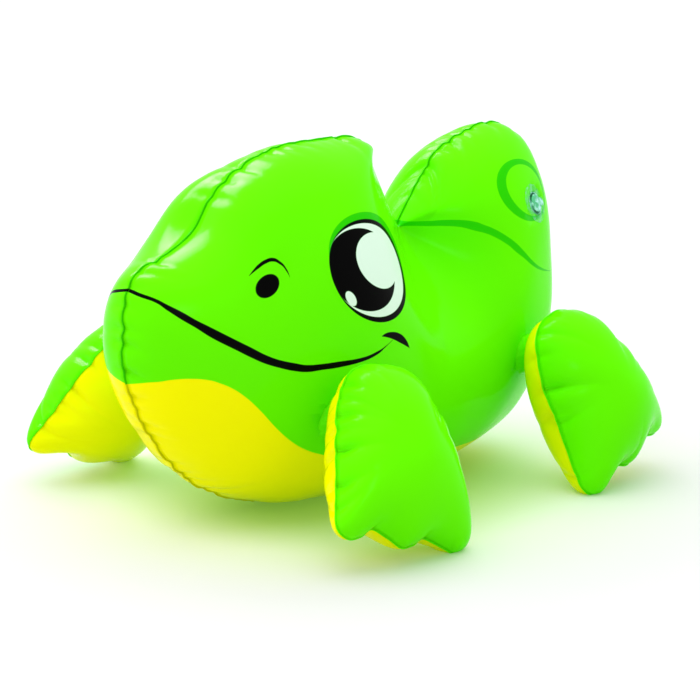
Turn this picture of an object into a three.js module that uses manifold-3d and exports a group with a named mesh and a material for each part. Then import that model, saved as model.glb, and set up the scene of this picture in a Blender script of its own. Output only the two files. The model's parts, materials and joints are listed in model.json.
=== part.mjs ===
// Inflatable water toy: a film animal with a two-panel body, four webbed flippers and an inflation valve.
// Millimetres, +Z up, snout towards -Y, the animal's left side towards +X.
// The origin is on the floor, under the middle of the toy.
import * as THREE from "three";
import { mergeVertices } from "three/addons/utils/BufferGeometryUtils.js";
import Module from "manifold-3d";

const wasm = await Module();
wasm.setup();

// Film and welded seams
const FILM = 0.3; // thickness of the PVC film
const CLEARANCE = 0.3; // gap kept where two pieces meet
const WELD_WIDTH = 4; // how far a welded seam reaches inside the outline
const WELD_PROUD = 0.8; // how far a welded seam stands out of the outline

// Body, lengths measured back from the snout and heights up from the belly
const BODY_LENGTH = 390;
const BODY_THICKNESS = 174; // across both panels at the widest place, before the notch draws them in
const CROWN_HEIGHT = 241; // top of the head
const SHELL_HEIGHT = 238; // top of the hump behind the neck
const HEAD_LENGTH = 221; // snout to the back corner of the head
const NOTCH_REACH = 250; // snout to the bottom of the neck notch
const NOTCH_HEIGHT = 174; // belly to the bottom of the neck notch
const BELLY_PATCH = 3; // how far the resting belly is pressed flat
const NOTCH_FULLNESS = 3; // height that the film keeps along the back edge of the head
const NOTCH_SLOPE = 1.05; // rise of the film for each millimetre away from that edge
const NOTCH_LEAN = 1.4; // how many times steeper it rises behind the notch

// Flippers, all four cut to one pattern
const FLIPPER_LENGTH = 118; // root to the toe tips
const FLIPPER_WIDTH = 104; // across the webbed edge
const FLIPPER_THICKNESS = 74; // across both panels at the fullest place
const ROOT_ROUNDING = 38; // half width of the round root end
const TOES = 3;
const TOE_DEPTH = 9; // from a toe tip to the web beside it
const FRONT_REACH = 113; // snout to the front air ports
const REAR_REACH = 307; // snout to the rear air ports
const FRONT_SPLAY = 28; // degrees that a front flipper leans out from upright
const REAR_SPLAY = 24; // degrees that a rear flipper leans out from upright
const SWING = 15; // degrees that a front flipper leans forward and a rear one back

// Necks, where the air passes from the body into a flipper
const PORT_DEPTH = 20; // flipper root to the middle of its air port
const PORT_RADIUS = 8;
const NECK_RADIUS = 12;
const NECK_WALL = 0.6;
const FRONT_NECK = 15; // between the body and a front flipper
const REAR_NECK = 11; // between the body and a rear flipper

// Inflation valve
const VALVE_SHARES = [0.645, 0.778]; // shares of the shell's length and height
const FLANGE_RADIUS = 14;
const FLANGE_THICKNESS = 0.8;
const CUP_RADIUS = 8; // recess that the stem is pushed into
const CUP_DEPTH = 13;
const CUP_WALL = 0.6;
const STEM_RADIUS = 4.6;
const STEM_BORE = 3.2;
const STEM_RISE = 0.6; // how far the pushed-in stem stands above the film
const PLUG_RADIUS = 6.4;
const PLUG_HEAD = 1.4;
const PLUG_DEPTH = 7; // length of plug inside the stem
const TAB_LENGTH = 4; // pull tab at the edge of the plug
const TAB_WIDTH = 5;
const STRAP_WIDTH = 3;
const STRAP_THICKNESS = 0.7;
const FLAP_THICKNESS = 0.5;

// Mesh fineness
const BODY_STEPS = 72;
const BODY_RINGS = 8;
const EDGE_STEPS = 10; // steps along one side edge of a flipper
const TOE_STEPS = 6; // steps along one toe
const FLIPPER_RINGS = 4;
const ROUND_STEPS = 24; // sides of a round piece

const gloss = (color) => new THREE.MeshStandardMaterial({ color, roughness: 0.22, metalness: 0 });
const greenFilm = gloss(0x69fa05);
const yellowFilm = gloss(0xebf000);
const clearPlastic = gloss(0xb9ecd6);

const toy = new THREE.Group();

function addPiece(parent, name, geometry, material) {
  const mesh = new THREE.Mesh(geometry, material);
  mesh.name = name;
  parent.add(mesh);
}

// Solids: closed geometry to a manifold-3d solid and back
function solidOf(geometry) {
  const bare = new THREE.BufferGeometry();
  const flat = geometry.index ? geometry.toNonIndexed() : geometry;
  bare.setAttribute("position", flat.getAttribute("position").clone());
  const merged = mergeVertices(bare, 1e-4);
  const vertProperties = merged.getAttribute("position").array;
  const triVerts = new Uint32Array(merged.index.array);
  return new wasm.Manifold(new wasm.Mesh({ numProp: 3, vertProperties, triVerts }));
}

function geometryOf(solid) {
  const mesh = solid.getMesh();
  const geometry = new THREE.BufferGeometry();
  geometry.setAttribute("position", new THREE.BufferAttribute(mesh.vertProperties, 3));
  geometry.setIndex(new THREE.BufferAttribute(mesh.triVerts, 1));
  return geometry;
}

function indexedGeometry(points, triangles) {
  const geometry = new THREE.BufferGeometry().setFromPoints(points);
  geometry.setIndex(triangles.flat());
  return geometry;
}

function placesOf(geometry) {
  const position = geometry.getAttribute("position");
  return Array.from({ length: position.count }, (_, i) => new THREE.Vector3().fromBufferAttribute(position, i));
}

// A round bar along z, from one level to another
function bar(radius, from, to) {
  const geometry = new THREE.CylinderGeometry(radius, radius, to - from, ROUND_STEPS);
  return geometry.rotateX(Math.PI / 2).translate(0, 0, (from + to) / 2);
}

// A turned piece about z, from a closed profile of [radius, level] pairs
function turned(profile) {
  const closed = [...profile, profile[0]].map(([radius, level]) => new THREE.Vector2(radius, level));
  return new THREE.LatheGeometry(closed, ROUND_STEPS).rotateX(Math.PI / 2);
}

// Inflated panels.
// A panel is cut to an outline in its own p, q plane and blown up along its normal.
// Its middle surface follows the soap-film equation, and the height is the root of the film's rise,
// which gives a round edge at the seam and a fullness that follows the outline's width.

function inflate(outline, pole, rings, fullness, ceiling = () => Infinity) {
  const count = outline.length;
  const points = [];
  for (let ring = 0; ring < rings; ring++) {
    const share = Math.cos((ring / rings) * (Math.PI / 2));
    for (const edge of outline) points.push(pole.clone().lerp(edge, share));
  }
  points.push(pole.clone());
  const middle = points.length - 1;
  const triangles = [];
  for (let ring = 0; ring < rings; ring++) {
    for (let i = 0; i < count; i++) {
      const next = (i + 1) % count;
      const outer = ring * count;
      if (ring === rings - 1) {
        triangles.push([outer + i, outer + next, middle]);
        continue;
      }
      const inner = outer + count;
      triangles.push([outer + i, outer + next, inner + next], [outer + i, inner + next, inner + i]);
    }
  }
  const rise = membrane(points, triangles, count);
  const heights = rise.map((value) => Math.sqrt(value));
  const highest = Math.max(...heights);
  const seam = FILM + CLEARANCE;
  const surface = points.map((point, i) => {
    const free = seam + ((fullness - seam) * heights[i]) / highest;
    return new THREE.Vector3(point.x, point.y, softMinimum(free, ceiling(point)));
  });
  const normals = vertexNormals(surface, triangles);
  const rimNormals = edgeNormals(outline);
  rimNormals.forEach((normal, i) => normals[i].set(normal.x, normal.y, 0));
  return { surface, normals, triangles, count };
}

// The smaller of two heights, with a rounded change from one to the other
function softMinimum(height, limit) {
  const sharpness = 5;
  return height / (1 + (height / limit) ** sharpness) ** (1 / sharpness);
}

// Height of a film held at the rim and pressed evenly, solved on the mesh by conjugate gradients
function membrane(points, triangles, rimCount) {
  const remainder = 1e-10;
  const links = points.map(() => new Map());
  const load = points.map(() => 0);
  for (const corner of triangles) {
    for (let k = 0; k < 3; k++) {
      const [a, b, c] = [corner[k], corner[(k + 1) % 3], corner[(k + 2) % 3]];
      const toA = points[a].clone().sub(points[c]);
      const toB = points[b].clone().sub(points[c]);
      const stiffness = toA.dot(toB) / Math.abs(toA.cross(toB)) / 2;
      links[a].set(b, (links[a].get(b) ?? 0) + stiffness);
      links[b].set(a, (links[b].get(a) ?? 0) + stiffness);
      load[c] += Math.abs(toA.cross(toB)) / 6;
    }
  }
  const dot = (a, b) => a.reduce((sum, value, i) => sum + value * b[i], 0);
  const sum = (a, b, share) => a.map((value, i) => value + share * b[i]);
  const held = (values) => values.map((value, i) => (i < rimCount ? 0 : value));
  const total = links.map((near) => [...near.values()].reduce((all, stiffness) => all + stiffness, 0));
  const tension = (rise) =>
    held(rise.map((value, i) => [...links[i]].reduce((all, [j, stiffness]) => all + stiffness * (value - rise[j]), 0)));
  let rise = points.map(() => 0);
  let rest = held(load);
  let step = rest.map((value, i) => value / total[i]);
  let power = dot(rest, step);
  const goal = power * remainder;
  while (power > goal) {
    const pull = tension(step);
    const length = power / dot(step, pull);
    rise = sum(rise, step, length);
    rest = sum(rest, pull, -length);
    const ready = rest.map((value, i) => value / total[i]);
    const before = power;
    power = dot(rest, ready);
    step = sum(ready, step, power / before);
  }
  return rise.map((value) => Math.max(value, 0));
}

function vertexNormals(surface, triangles) {
  const geometry = indexedGeometry(surface, triangles);
  geometry.computeVertexNormals();
  const normal = geometry.getAttribute("normal");
  return surface.map((_, i) => new THREE.Vector3().fromBufferAttribute(normal, i));
}

// Outward normals of a counter-clockwise outline, lengthened at corners so that offsets stay parallel
function edgeNormals(outline) {
  const count = outline.length;
  return outline.map((point, i) => {
    const before = point.clone().sub(outline[(i + count - 1) % count]).normalize();
    const after = outline[(i + 1) % count].clone().sub(point).normalize();
    const sum = new THREE.Vector2(before.y + after.y, -before.x - after.x);
    return sum.multiplyScalar(2 / sum.lengthSq());
  });
}

// The panel's surface moved along its normals, mirrored to the other side where side is -1
function skin(field, offset, side, floor) {
  return field.surface.map((point, i) => {
    const moved = point.clone().addScaledVector(field.normals[i], offset);
    moved.y = Math.max(moved.y, floor - offset);
    moved.z *= side;
    return moved;
  });
}

const turn = (triangles, side) => (side > 0 ? triangles : triangles.map(([a, b, c]) => [a, c, b]));

// One film panel as a thin closed shell
function panel(field, side, floor = -Infinity) {
  const outer = skin(field, 0, side, floor);
  const inner = skin(field, -FILM, side, floor);
  const shift = outer.length;
  const triangles = field.triangles.map((corner) => [...corner]);
  for (const [a, b, c] of field.triangles) triangles.push([a + shift, c + shift, b + shift]);
  for (let i = 0; i < field.count; i++) {
    const next = (i + 1) % field.count;
    triangles.push([i, i + shift, next + shift], [i, next + shift, next]);
  }
  return indexedGeometry([...outer, ...inner], turn(triangles, side));
}

// The space that a panel encloses, grown by an offset, down to its middle plane
function envelope(field, side, offset) {
  const outer = skin(field, offset, side, -Infinity);
  const base = outer.slice(0, field.count).map((point) => new THREE.Vector3(point.x, point.y, 0));
  const pole = outer[outer.length - 1];
  const shift = outer.length;
  const middle = shift + base.length;
  const triangles = [...field.triangles];
  for (let i = 0; i < field.count; i++) {
    const next = (i + 1) % field.count;
    triangles.push([i, i + shift, next + shift], [i, next + shift, next]);
    triangles.push([i + shift, middle, next + shift]);
  }
  const points = [...outer, ...base, new THREE.Vector3(pole.x, pole.y, 0)];
  return indexedGeometry(points, turn(triangles, side));
}

// The two film edges fused into one flat strip along the outline
function weld(outline, floor = -Infinity) {
  const normals = edgeNormals(outline);
  const points = [];
  for (const level of [-FILM, FILM]) {
    for (const offset of [WELD_PROUD, -WELD_WIDTH]) {
      outline.forEach((point, i) => {
        const moved = point.clone().addScaledVector(normals[i], offset);
        points.push(new THREE.Vector3(moved.x, Math.max(moved.y, floor), level));
      });
    }
  }
  const count = outline.length;
  const loops = [0, 1, 3, 2]; // low outer, low inner, high inner, high outer
  const triangles = [];
  for (let k = 0; k < loops.length; k++) {
    const from = loops[k] * count;
    const to = loops[(k + 1) % loops.length] * count;
    for (let i = 0; i < count; i++) {
      const next = (i + 1) % count;
      triangles.push([from + i, to + i, to + next], [from + i, to + next, from + next]);
    }
  }
  return indexedGeometry(points, triangles);
}

// Where a panel's surface lies above a place in its plane, with its normal
function surfaceAt(field, p, q) {
  const place = new THREE.Vector3(p, q, 0);
  const flat = (i) => new THREE.Vector3(field.surface[i].x, field.surface[i].y, 0);
  for (const [a, b, c] of field.triangles) {
    const share = THREE.Triangle.getBarycoord(place, flat(a), flat(b), flat(c), new THREE.Vector3());
    if (!share || Math.min(share.x, share.y, share.z) < -1e-6) continue;
    const mix = (list) =>
      new THREE.Vector3()
        .addScaledVector(list[a], share.x)
        .addScaledVector(list[b], share.y)
        .addScaledVector(list[c], share.z);
    return { point: mix(field.surface), normal: mix(field.normals).normalize() };
  }
  throw new Error(`the place ${p}, ${q} is outside the panel`);
}

// Body outline in the middle plane, as shares of the lengths and heights above.
// It runs counter-clockwise from the neck notch over the head, under the belly and over the shell.
const HEAD_SHARES = [
  [1.062, 0.78], // neck
  [1.012, 0.855],
  [1.003, 0.93], // back corner
  [0.98, 0.975],
  [0.91, 0.996],
  [0.8, 0.998],
  [0.6, 0.99],
  [0.43, 0.938], // forehead
  [0.34, 0.875],
  [0.275, 0.8],
  [0.18, 0.753], // bridge of the nose
  [0.075, 0.722],
  [0.018, 0.66], // mouth
  [0.0, 0.52], // snout
  [0.03, 0.395], // chin
  [0.1, 0.275],
  [0.24, 0.135], // throat
  [0.44, 0.045],
];
const BELLY_SHARES = [
  [0.37, 0.008],
  [0.53, 0.0],
  [0.71, 0.015],
  [0.88, 0.1],
  [0.975, 0.3],
];
const SHELL_SHARES = [
  [1.0, 0.63], // rump
  [0.965, 0.85],
  [0.87, 0.965],
  [0.7, 1.0], // top of the shell
  [0.48, 0.978],
  [0.29, 0.93],
  [0.16, 0.85], // front of the shell
];

function bodyOutline() {
  const shellLength = BODY_LENGTH - NOTCH_REACH;
  const notch = new THREE.Vector2(NOTCH_REACH, NOTCH_HEIGHT);
  const points = [
    notch,
    ...HEAD_SHARES.map(([p, q]) => new THREE.Vector2(p * HEAD_LENGTH, q * CROWN_HEIGHT)),
    ...BELLY_SHARES.map(([p, q]) => new THREE.Vector2(p * BODY_LENGTH, q * CROWN_HEIGHT)),
    ...SHELL_SHARES.map(([p, q]) => new THREE.Vector2(NOTCH_REACH + p * shellLength, q * SHELL_HEIGHT)),
    notch.clone(),
  ];
  return new THREE.SplineCurve(points).getSpacedPoints(BODY_STEPS).slice(0, BODY_STEPS);
}

// Flipper outline: p runs from the root to the toes, q across
function flipperOutline() {
  const web = FLIPPER_LENGTH - TOE_DEPTH;
  const half = FLIPPER_WIDTH / 2;
  const root = new THREE.Vector2(0, 0);
  const edge = new THREE.CubicBezierCurve(
    root,
    new THREE.Vector2(0, ROOT_ROUNDING),
    new THREE.Vector2(web * 0.56, half * 1.07),
    new THREE.Vector2(web, half),
  );
  const near = edge.getPoints(EDGE_STEPS);
  const toes = [];
  for (let i = 1; i < TOES * TOE_STEPS; i++) {
    const turns = i / TOE_STEPS;
    const tip = (1 - Math.cos(2 * Math.PI * turns)) / 2;
    toes.push(new THREE.Vector2(web + TOE_DEPTH * tip, half - (turns / TOES) * FLIPPER_WIDTH));
  }
  const far = near.slice(1).map((point) => new THREE.Vector2(point.x, -point.y)).reverse();
  return [...near, ...toes, ...far].reverse();
}

// Body: the two side panels and the seam that joins them round the middle plane
const bodyEdge = bodyOutline();
const bodyPole = new THREE.Vector2(NOTCH_REACH * 0.94, NOTCH_HEIGHT * 0.46);
// The seam holds the film down along the back edge of the head, from its corner into the notch
const [cornerReach, cornerHeight] = HEAD_SHARES[2];
const backEdge = new THREE.Line3(
  new THREE.Vector3(cornerReach * HEAD_LENGTH, cornerHeight * CROWN_HEIGHT, 0),
  new THREE.Vector3(NOTCH_REACH, NOTCH_HEIGHT, 0),
);
const heldDown = (point) => {
  const behind = Math.max(point.x - NOTCH_REACH, 0);
  const place = new THREE.Vector3(point.x + (NOTCH_LEAN - 1) * behind, point.y, 0);
  const nearest = backEdge.closestPointToPoint(place, true, new THREE.Vector3());
  return NOTCH_FULLNESS + NOTCH_SLOPE * place.distanceTo(nearest);
};
const bodyField = inflate(bodyEdge, bodyPole, BODY_RINGS, BODY_THICKNESS / 2, heldDown);
const bodyFloor = Math.min(...bodyEdge.map((point) => point.y)) + BELLY_PATCH;
const bodyFrame = new THREE.Matrix4().makeBasis(
  new THREE.Vector3(0, 1, 0),
  new THREE.Vector3(0, 0, 1),
  new THREE.Vector3(1, 0, 0),
);
const bodyPanels = { left: solidOf(panel(bodyField, 1, bodyFloor)), right: solidOf(panel(bodyField, -1, bodyFloor)) };

// Flippers: two panels, a seam and the neck that carries each one
const flipperEdge = flipperOutline();
const flipperPole = new THREE.Vector2(FLIPPER_LENGTH * 0.55, 0);
const flipperField = inflate(flipperEdge, flipperPole, FLIPPER_RINGS, FLIPPER_THICKNESS / 2);
const portPoint = surfaceAt(flipperField, PORT_DEPTH, 0).point;
const neckReach = FLIPPER_THICKNESS; // long enough to pass into both pieces before it is cut to them
const innerPanel = solidOf(panel(flipperField, -1)).subtract(
  solidOf(bar(PORT_RADIUS, -portPoint.z - neckReach, 0).translate(PORT_DEPTH, 0, 0)),
);

const flipperShapes = [panel(flipperField, 1), geometryOf(innerPanel), weld(flipperEdge)];

function addFlipper(end, side) {
  const isFront = end === "front";
  const name = `${end}_${side > 0 ? "left" : "right"}_flipper`;
  const lean = THREE.MathUtils.degToRad(isFront ? FRONT_SPLAY : REAR_SPLAY);
  const swing = THREE.MathUtils.degToRad(isFront ? -SWING : SWING);
  const neckLength = isFront ? FRONT_NECK : REAR_NECK;
  // Upright flipper: p down and the outer face towards the side, then swung and leaned out
  const placed = new THREE.Matrix4()
    .makeRotationY(-lean * side)
    .multiply(new THREE.Matrix4().makeRotationX(swing))
    .multiply(
      new THREE.Matrix4().makeBasis(
        new THREE.Vector3(0, 0, -1),
        new THREE.Vector3(0, side, 0),
        new THREE.Vector3(side, 0, 0),
      ),
    );
  const outward = new THREE.Vector3().setFromMatrixColumn(placed, 2);
  const port = new THREE.Vector3(PORT_DEPTH, 0, -portPoint.z).applyMatrix4(placed);
  const corners = flipperShapes.flatMap((shape) => placesOf(shape));
  const lowest = Math.min(...corners.map((corner) => corner.applyMatrix4(placed).z));
  // The lowest toe stands on the floor, which sets the height of the port on the body
  const portHeight = bodyFloor - lowest + port.z - neckLength * outward.z;
  const reach = isFront ? FRONT_REACH : REAR_REACH;
  const seat = surfaceAt(bodyField, reach, portHeight).point;
  const origin = new THREE.Vector3(side * seat.z, reach, portHeight)
    .addScaledVector(outward, neckLength)
    .sub(port);
  placed.setPosition(origin);

  const group = new THREE.Group();
  group.applyMatrix4(placed);
  toy.add(group);
  const [outerShape, innerShape, seamShape] = flipperShapes;
  addPiece(group, `${name}_outer_panel`, outerShape, greenFilm);
  addPiece(group, `${name}_inner_panel`, innerShape, yellowFilm);
  addPiece(group, `${name}_seam`, seamShape, greenFilm);

  // The neck is a short film tube, cut to the body at one end and to the flipper at the other
  const toBody = placed.clone().invert().multiply(bodyFrame);
  const toWorld = bodyFrame.clone().invert().multiply(placed);
  const span = [-portPoint.z - neckReach / 2, -portPoint.z + neckReach / 4];
  const tube = (radius) => bar(radius, ...span).translate(PORT_DEPTH, 0, 0);
  const neck = solidOf(tube(NECK_RADIUS))
    .subtract(solidOf(tube(NECK_RADIUS - NECK_WALL)))
    .subtract(solidOf(envelope(flipperField, -1, CLEARANCE)))
    .subtract(solidOf(envelope(bodyField, side, CLEARANCE).applyMatrix4(toBody)));
  addPiece(group, `${name}_neck`, geometryOf(neck), yellowFilm);

  const hole = solidOf(bar(PORT_RADIUS, ...span).translate(PORT_DEPTH, 0, 0).applyMatrix4(toWorld));
  const panelName = side > 0 ? "left" : "right";
  bodyPanels[panelName] = bodyPanels[panelName].subtract(hole);
}

for (const end of ["front", "rear"]) {
  for (const side of [1, -1]) addFlipper(end, side);
}

// Valve on the left side of the shell: z points out of the film, and the stem is pushed in
function addValve() {
  const reach = NOTCH_REACH + VALVE_SHARES[0] * (BODY_LENGTH - NOTCH_REACH);
  const seat = surfaceAt(bodyField, reach, VALVE_SHARES[1] * SHELL_HEIGHT);
  const across = new THREE.Vector3(0, 1, 0).cross(seat.normal).normalize();
  const along = seat.normal.clone().cross(across);
  const local = new THREE.Matrix4().makeBasis(across, along, seat.normal).setPosition(seat.point);
  const toValve = local.clone().invert();
  const group = new THREE.Group();
  group.applyMatrix4(bodyFrame.clone().multiply(local));
  toy.add(group);

  const under = solidOf(envelope(bodyField, 1, CLEARANCE).applyMatrix4(toValve));
  const over = solidOf(envelope(bodyField, 1, CLEARANCE + FLANGE_THICKNESS).applyMatrix4(toValve));
  const cupRim = CUP_RADIUS + CLEARANCE;
  const flange = solidOf(bar(FLANGE_RADIUS, -FLANGE_RADIUS, FLANGE_RADIUS))
    .intersect(over)
    .subtract(under)
    .subtract(solidOf(bar(cupRim, -FLANGE_RADIUS, FLANGE_RADIUS)));
  addPiece(group, "valve_flange", geometryOf(flange), clearPlastic);

  const cupFloor = -CUP_DEPTH;
  const cupInside = CUP_RADIUS - CUP_WALL;
  const stemGap = STEM_RADIUS + CLEARANCE;
  const cup = [
    [CUP_RADIUS, cupFloor],
    [CUP_RADIUS, 0],
    [cupInside, 0],
    [cupInside, cupFloor + CUP_WALL],
    [stemGap, cupFloor + CUP_WALL],
    [stemGap, cupFloor],
  ];
  addPiece(group, "valve_cup", turned(cup), clearPlastic);

  const stem = [
    [STEM_RADIUS, cupFloor],
    [STEM_RADIUS, STEM_RISE],
    [STEM_BORE, STEM_RISE],
    [STEM_BORE, cupFloor],
  ];
  addPiece(group, "valve_stem", turned(stem), clearPlastic);

  const headBase = STEM_RISE + CLEARANCE;
  const headTop = headBase + PLUG_HEAD;
  const shaft = STEM_BORE - CLEARANCE;
  const shaftEnd = STEM_RISE - PLUG_DEPTH;
  const tab = new THREE.BoxGeometry(PLUG_RADIUS + TAB_LENGTH, TAB_WIDTH, PLUG_HEAD)
    .translate((PLUG_RADIUS + TAB_LENGTH) / 2, 0, headBase + PLUG_HEAD / 2);
  const plug = solidOf(bar(PLUG_RADIUS, headBase, headTop))
    .add(solidOf(bar(shaft, shaftEnd, headBase + PLUG_HEAD / 2)))
    .add(solidOf(tab));
  addPiece(group, "valve_plug", geometryOf(plug), clearPlastic);

  // The strap loops from the side of the stem up to the edge of the plug's head
  const strapFrom = STEM_RADIUS + CLEARANCE;
  const strapTo = PLUG_RADIUS + CLEARANCE;
  const route = new THREE.QuadraticBezierCurve3(
    new THREE.Vector3(-strapFrom, 0, -STRAP_WIDTH),
    new THREE.Vector3(-strapTo, 0, -STRAP_WIDTH),
    new THREE.Vector3(-strapTo - STRAP_THICKNESS / 2, 0, headTop),
  );
  const section = new THREE.Shape([
    new THREE.Vector2(-STRAP_WIDTH / 2, -STRAP_THICKNESS / 2),
    new THREE.Vector2(STRAP_WIDTH / 2, -STRAP_THICKNESS / 2),
    new THREE.Vector2(STRAP_WIDTH / 2, STRAP_THICKNESS / 2),
    new THREE.Vector2(-STRAP_WIDTH / 2, STRAP_THICKNESS / 2),
  ]);
  const strap = new THREE.ExtrudeGeometry(section, { steps: EDGE_STEPS, extrudePath: route, bevelEnabled: false });
  addPiece(group, "valve_strap", strap, clearPlastic);

  const flapTop = cupFloor - CLEARANCE;
  addPiece(group, "valve_check_flap", bar(STEM_RADIUS, flapTop - FLAP_THICKNESS, flapTop), clearPlastic);

  const hole = solidOf(bar(cupRim, -CUP_DEPTH, CUP_DEPTH).applyMatrix4(local));
  bodyPanels.left = bodyPanels.left.subtract(hole);
}
addValve();

// The body's own pieces come last, once their holes are cut
const body = new THREE.Group();
body.applyMatrix4(bodyFrame);
toy.add(body);
addPiece(body, "body_left_panel", geometryOf(bodyPanels.left), greenFilm);
addPiece(body, "body_right_panel", geometryOf(bodyPanels.right), greenFilm);
addPiece(body, "body_seam", weld(bodyEdge, bodyFloor), greenFilm);

// The toy stands on the floor with the middle of its box over the origin
const box = new THREE.Box3().setFromObject(toy, true);
toy.position.set(0, -(box.min.y + box.max.y) / 2, -box.min.z);

export default toy;
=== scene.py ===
"""Looks of an inflatable water toy: puckered film panels, printed face, clear valve and a white studio."""

import json
import logging
import math
from dataclasses import dataclass, field
from enum import Enum
from functools import partial
from itertools import product
from typing import Callable, Sequence

import bpy
import numpy as np
from bpy.types import Material, Node, NodeSocket, Object
from mathutils import Matrix, Vector
from mathutils.bvhtree import BVHTree


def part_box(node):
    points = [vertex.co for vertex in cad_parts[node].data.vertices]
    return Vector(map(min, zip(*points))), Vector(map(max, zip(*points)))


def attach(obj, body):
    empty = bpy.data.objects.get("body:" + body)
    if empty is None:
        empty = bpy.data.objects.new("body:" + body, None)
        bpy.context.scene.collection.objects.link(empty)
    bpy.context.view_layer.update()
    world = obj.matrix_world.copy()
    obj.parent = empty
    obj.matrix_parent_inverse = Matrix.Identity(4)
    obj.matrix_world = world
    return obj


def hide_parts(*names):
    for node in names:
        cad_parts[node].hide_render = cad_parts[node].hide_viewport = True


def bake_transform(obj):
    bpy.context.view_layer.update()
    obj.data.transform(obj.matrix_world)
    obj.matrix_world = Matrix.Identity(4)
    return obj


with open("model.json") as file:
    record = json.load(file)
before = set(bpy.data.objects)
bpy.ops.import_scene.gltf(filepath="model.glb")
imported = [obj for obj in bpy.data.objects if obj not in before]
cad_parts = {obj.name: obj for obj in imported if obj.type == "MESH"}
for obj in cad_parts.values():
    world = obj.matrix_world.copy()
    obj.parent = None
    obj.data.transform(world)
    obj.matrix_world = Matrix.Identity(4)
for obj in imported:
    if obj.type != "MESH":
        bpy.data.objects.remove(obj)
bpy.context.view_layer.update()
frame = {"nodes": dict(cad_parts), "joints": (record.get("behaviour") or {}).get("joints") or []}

JOINTS = {joint["name"]: joint for joint in frame["joints"]}
LOG = logging.getLogger("water_toy")
MM = 0.001
FILM = 0.3  # thickness of the film, mm

Array = np.ndarray
Field = Callable[[Array], Array]  # a value or a place for each row of places
Hole = tuple[Array, Array, float]  # middle, axis and radius of a round hole
Rows = tuple[tuple[float, ...], ...]  # sizes, one row for each place
Inputs = dict[str | int, object]  # values, wires or sockets, by a node input's name or number


class Side(Enum):
    """The two sides of the toy."""

    LEFT = 1
    RIGHT = -1


class End(Enum):
    """The two ends of the toy: how far their flippers lean out and swing back, in degrees."""

    FRONT = (28.0, -15.0)
    REAR = (24.0, 15.0)


class Tone(Enum):
    """Colours of film, ink and plastic, as linear red, green and blue."""

    LEAF = (0.126, 0.885, 0.0004)
    LEAF_SEAM = (0.045, 0.60, 0.0004)
    LEAF_WELD = (0.115, 0.865, 0.0004)
    SHADE_INK = (0.022, 0.60, 0.0004)
    YELLOW = (0.88, 0.90, 0.0)
    BELLY = (0.94, 0.90, 0.0)
    YELLOW_SEAM = (0.64, 0.62, 0.0)
    BLACK_INK = (0.0012, 0.0012, 0.0012)
    EYE_WHITE = (0.70, 0.90, 0.74)
    CLEAR = (0.09, 0.72, 0.30)
    # painted highlight: the whitish tint of patches on the valve
    MILK = (0.45, 0.90, 0.82)
    FLOOR = (0.62, 0.62, 0.62)
    # painted light: the green glow that the floor gives off about the toy
    FILM_LIGHT = (0.17, 0.32, 0.04)
    # painted shadow: the darker green-grey of the floor under the toy
    FILM_SHADE = (0.28, 0.44, 0.11)
    DARK = (0.0, 0.0, 0.0)

    @property
    def rgba(self) -> tuple[float, float, float, float]:
        """The colour with full alpha."""
        return (*self.value, 1.0)


def math_method(operation: str, swapped: bool = False) -> Callable[["Wire", "Wire | float"], "Wire"]:
    """A method of Wire that joins it to another value by a Math node.

    Args:
        operation: the node's operation.
        swapped: whether the other value comes first.

    Returns:
        The method.
    """

    def method(wire: "Wire", other: "Wire | float") -> "Wire":
        """The two values joined."""
        return wire.board.math(operation, *((other, wire) if swapped else (wire, other)))

    return method


class Wire:
    """A value socket that takes part in Python arithmetic."""

    __add__ = math_method("ADD")
    __radd__ = math_method("ADD", swapped=True)
    __sub__ = math_method("SUBTRACT")
    __rsub__ = math_method("SUBTRACT", swapped=True)
    __mul__ = math_method("MULTIPLY")
    __rmul__ = math_method("MULTIPLY", swapped=True)
    __truediv__ = math_method("DIVIDE")
    least = math_method("MINIMUM")
    most = math_method("MAXIMUM")

    def __init__(self, board: "Board", socket: NodeSocket) -> None:
        """Wraps a socket of a board."""
        self.board = board
        self.socket = socket

    def __abs__(self) -> "Wire":
        """The size without its sign."""
        return self.board.math("ABSOLUTE", self)

    def root(self) -> "Wire":
        """The square root."""
        return self.board.math("SQRT", self)

    def inked(self, blur: float) -> "Wire":
        """A mask: 1 where the value is above 0 and 0 below, over an edge blurred by this much."""
        return self.board.math("MULTIPLY_ADD", self, 1.0 / blur, 0.5, clamp=True)


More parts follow.
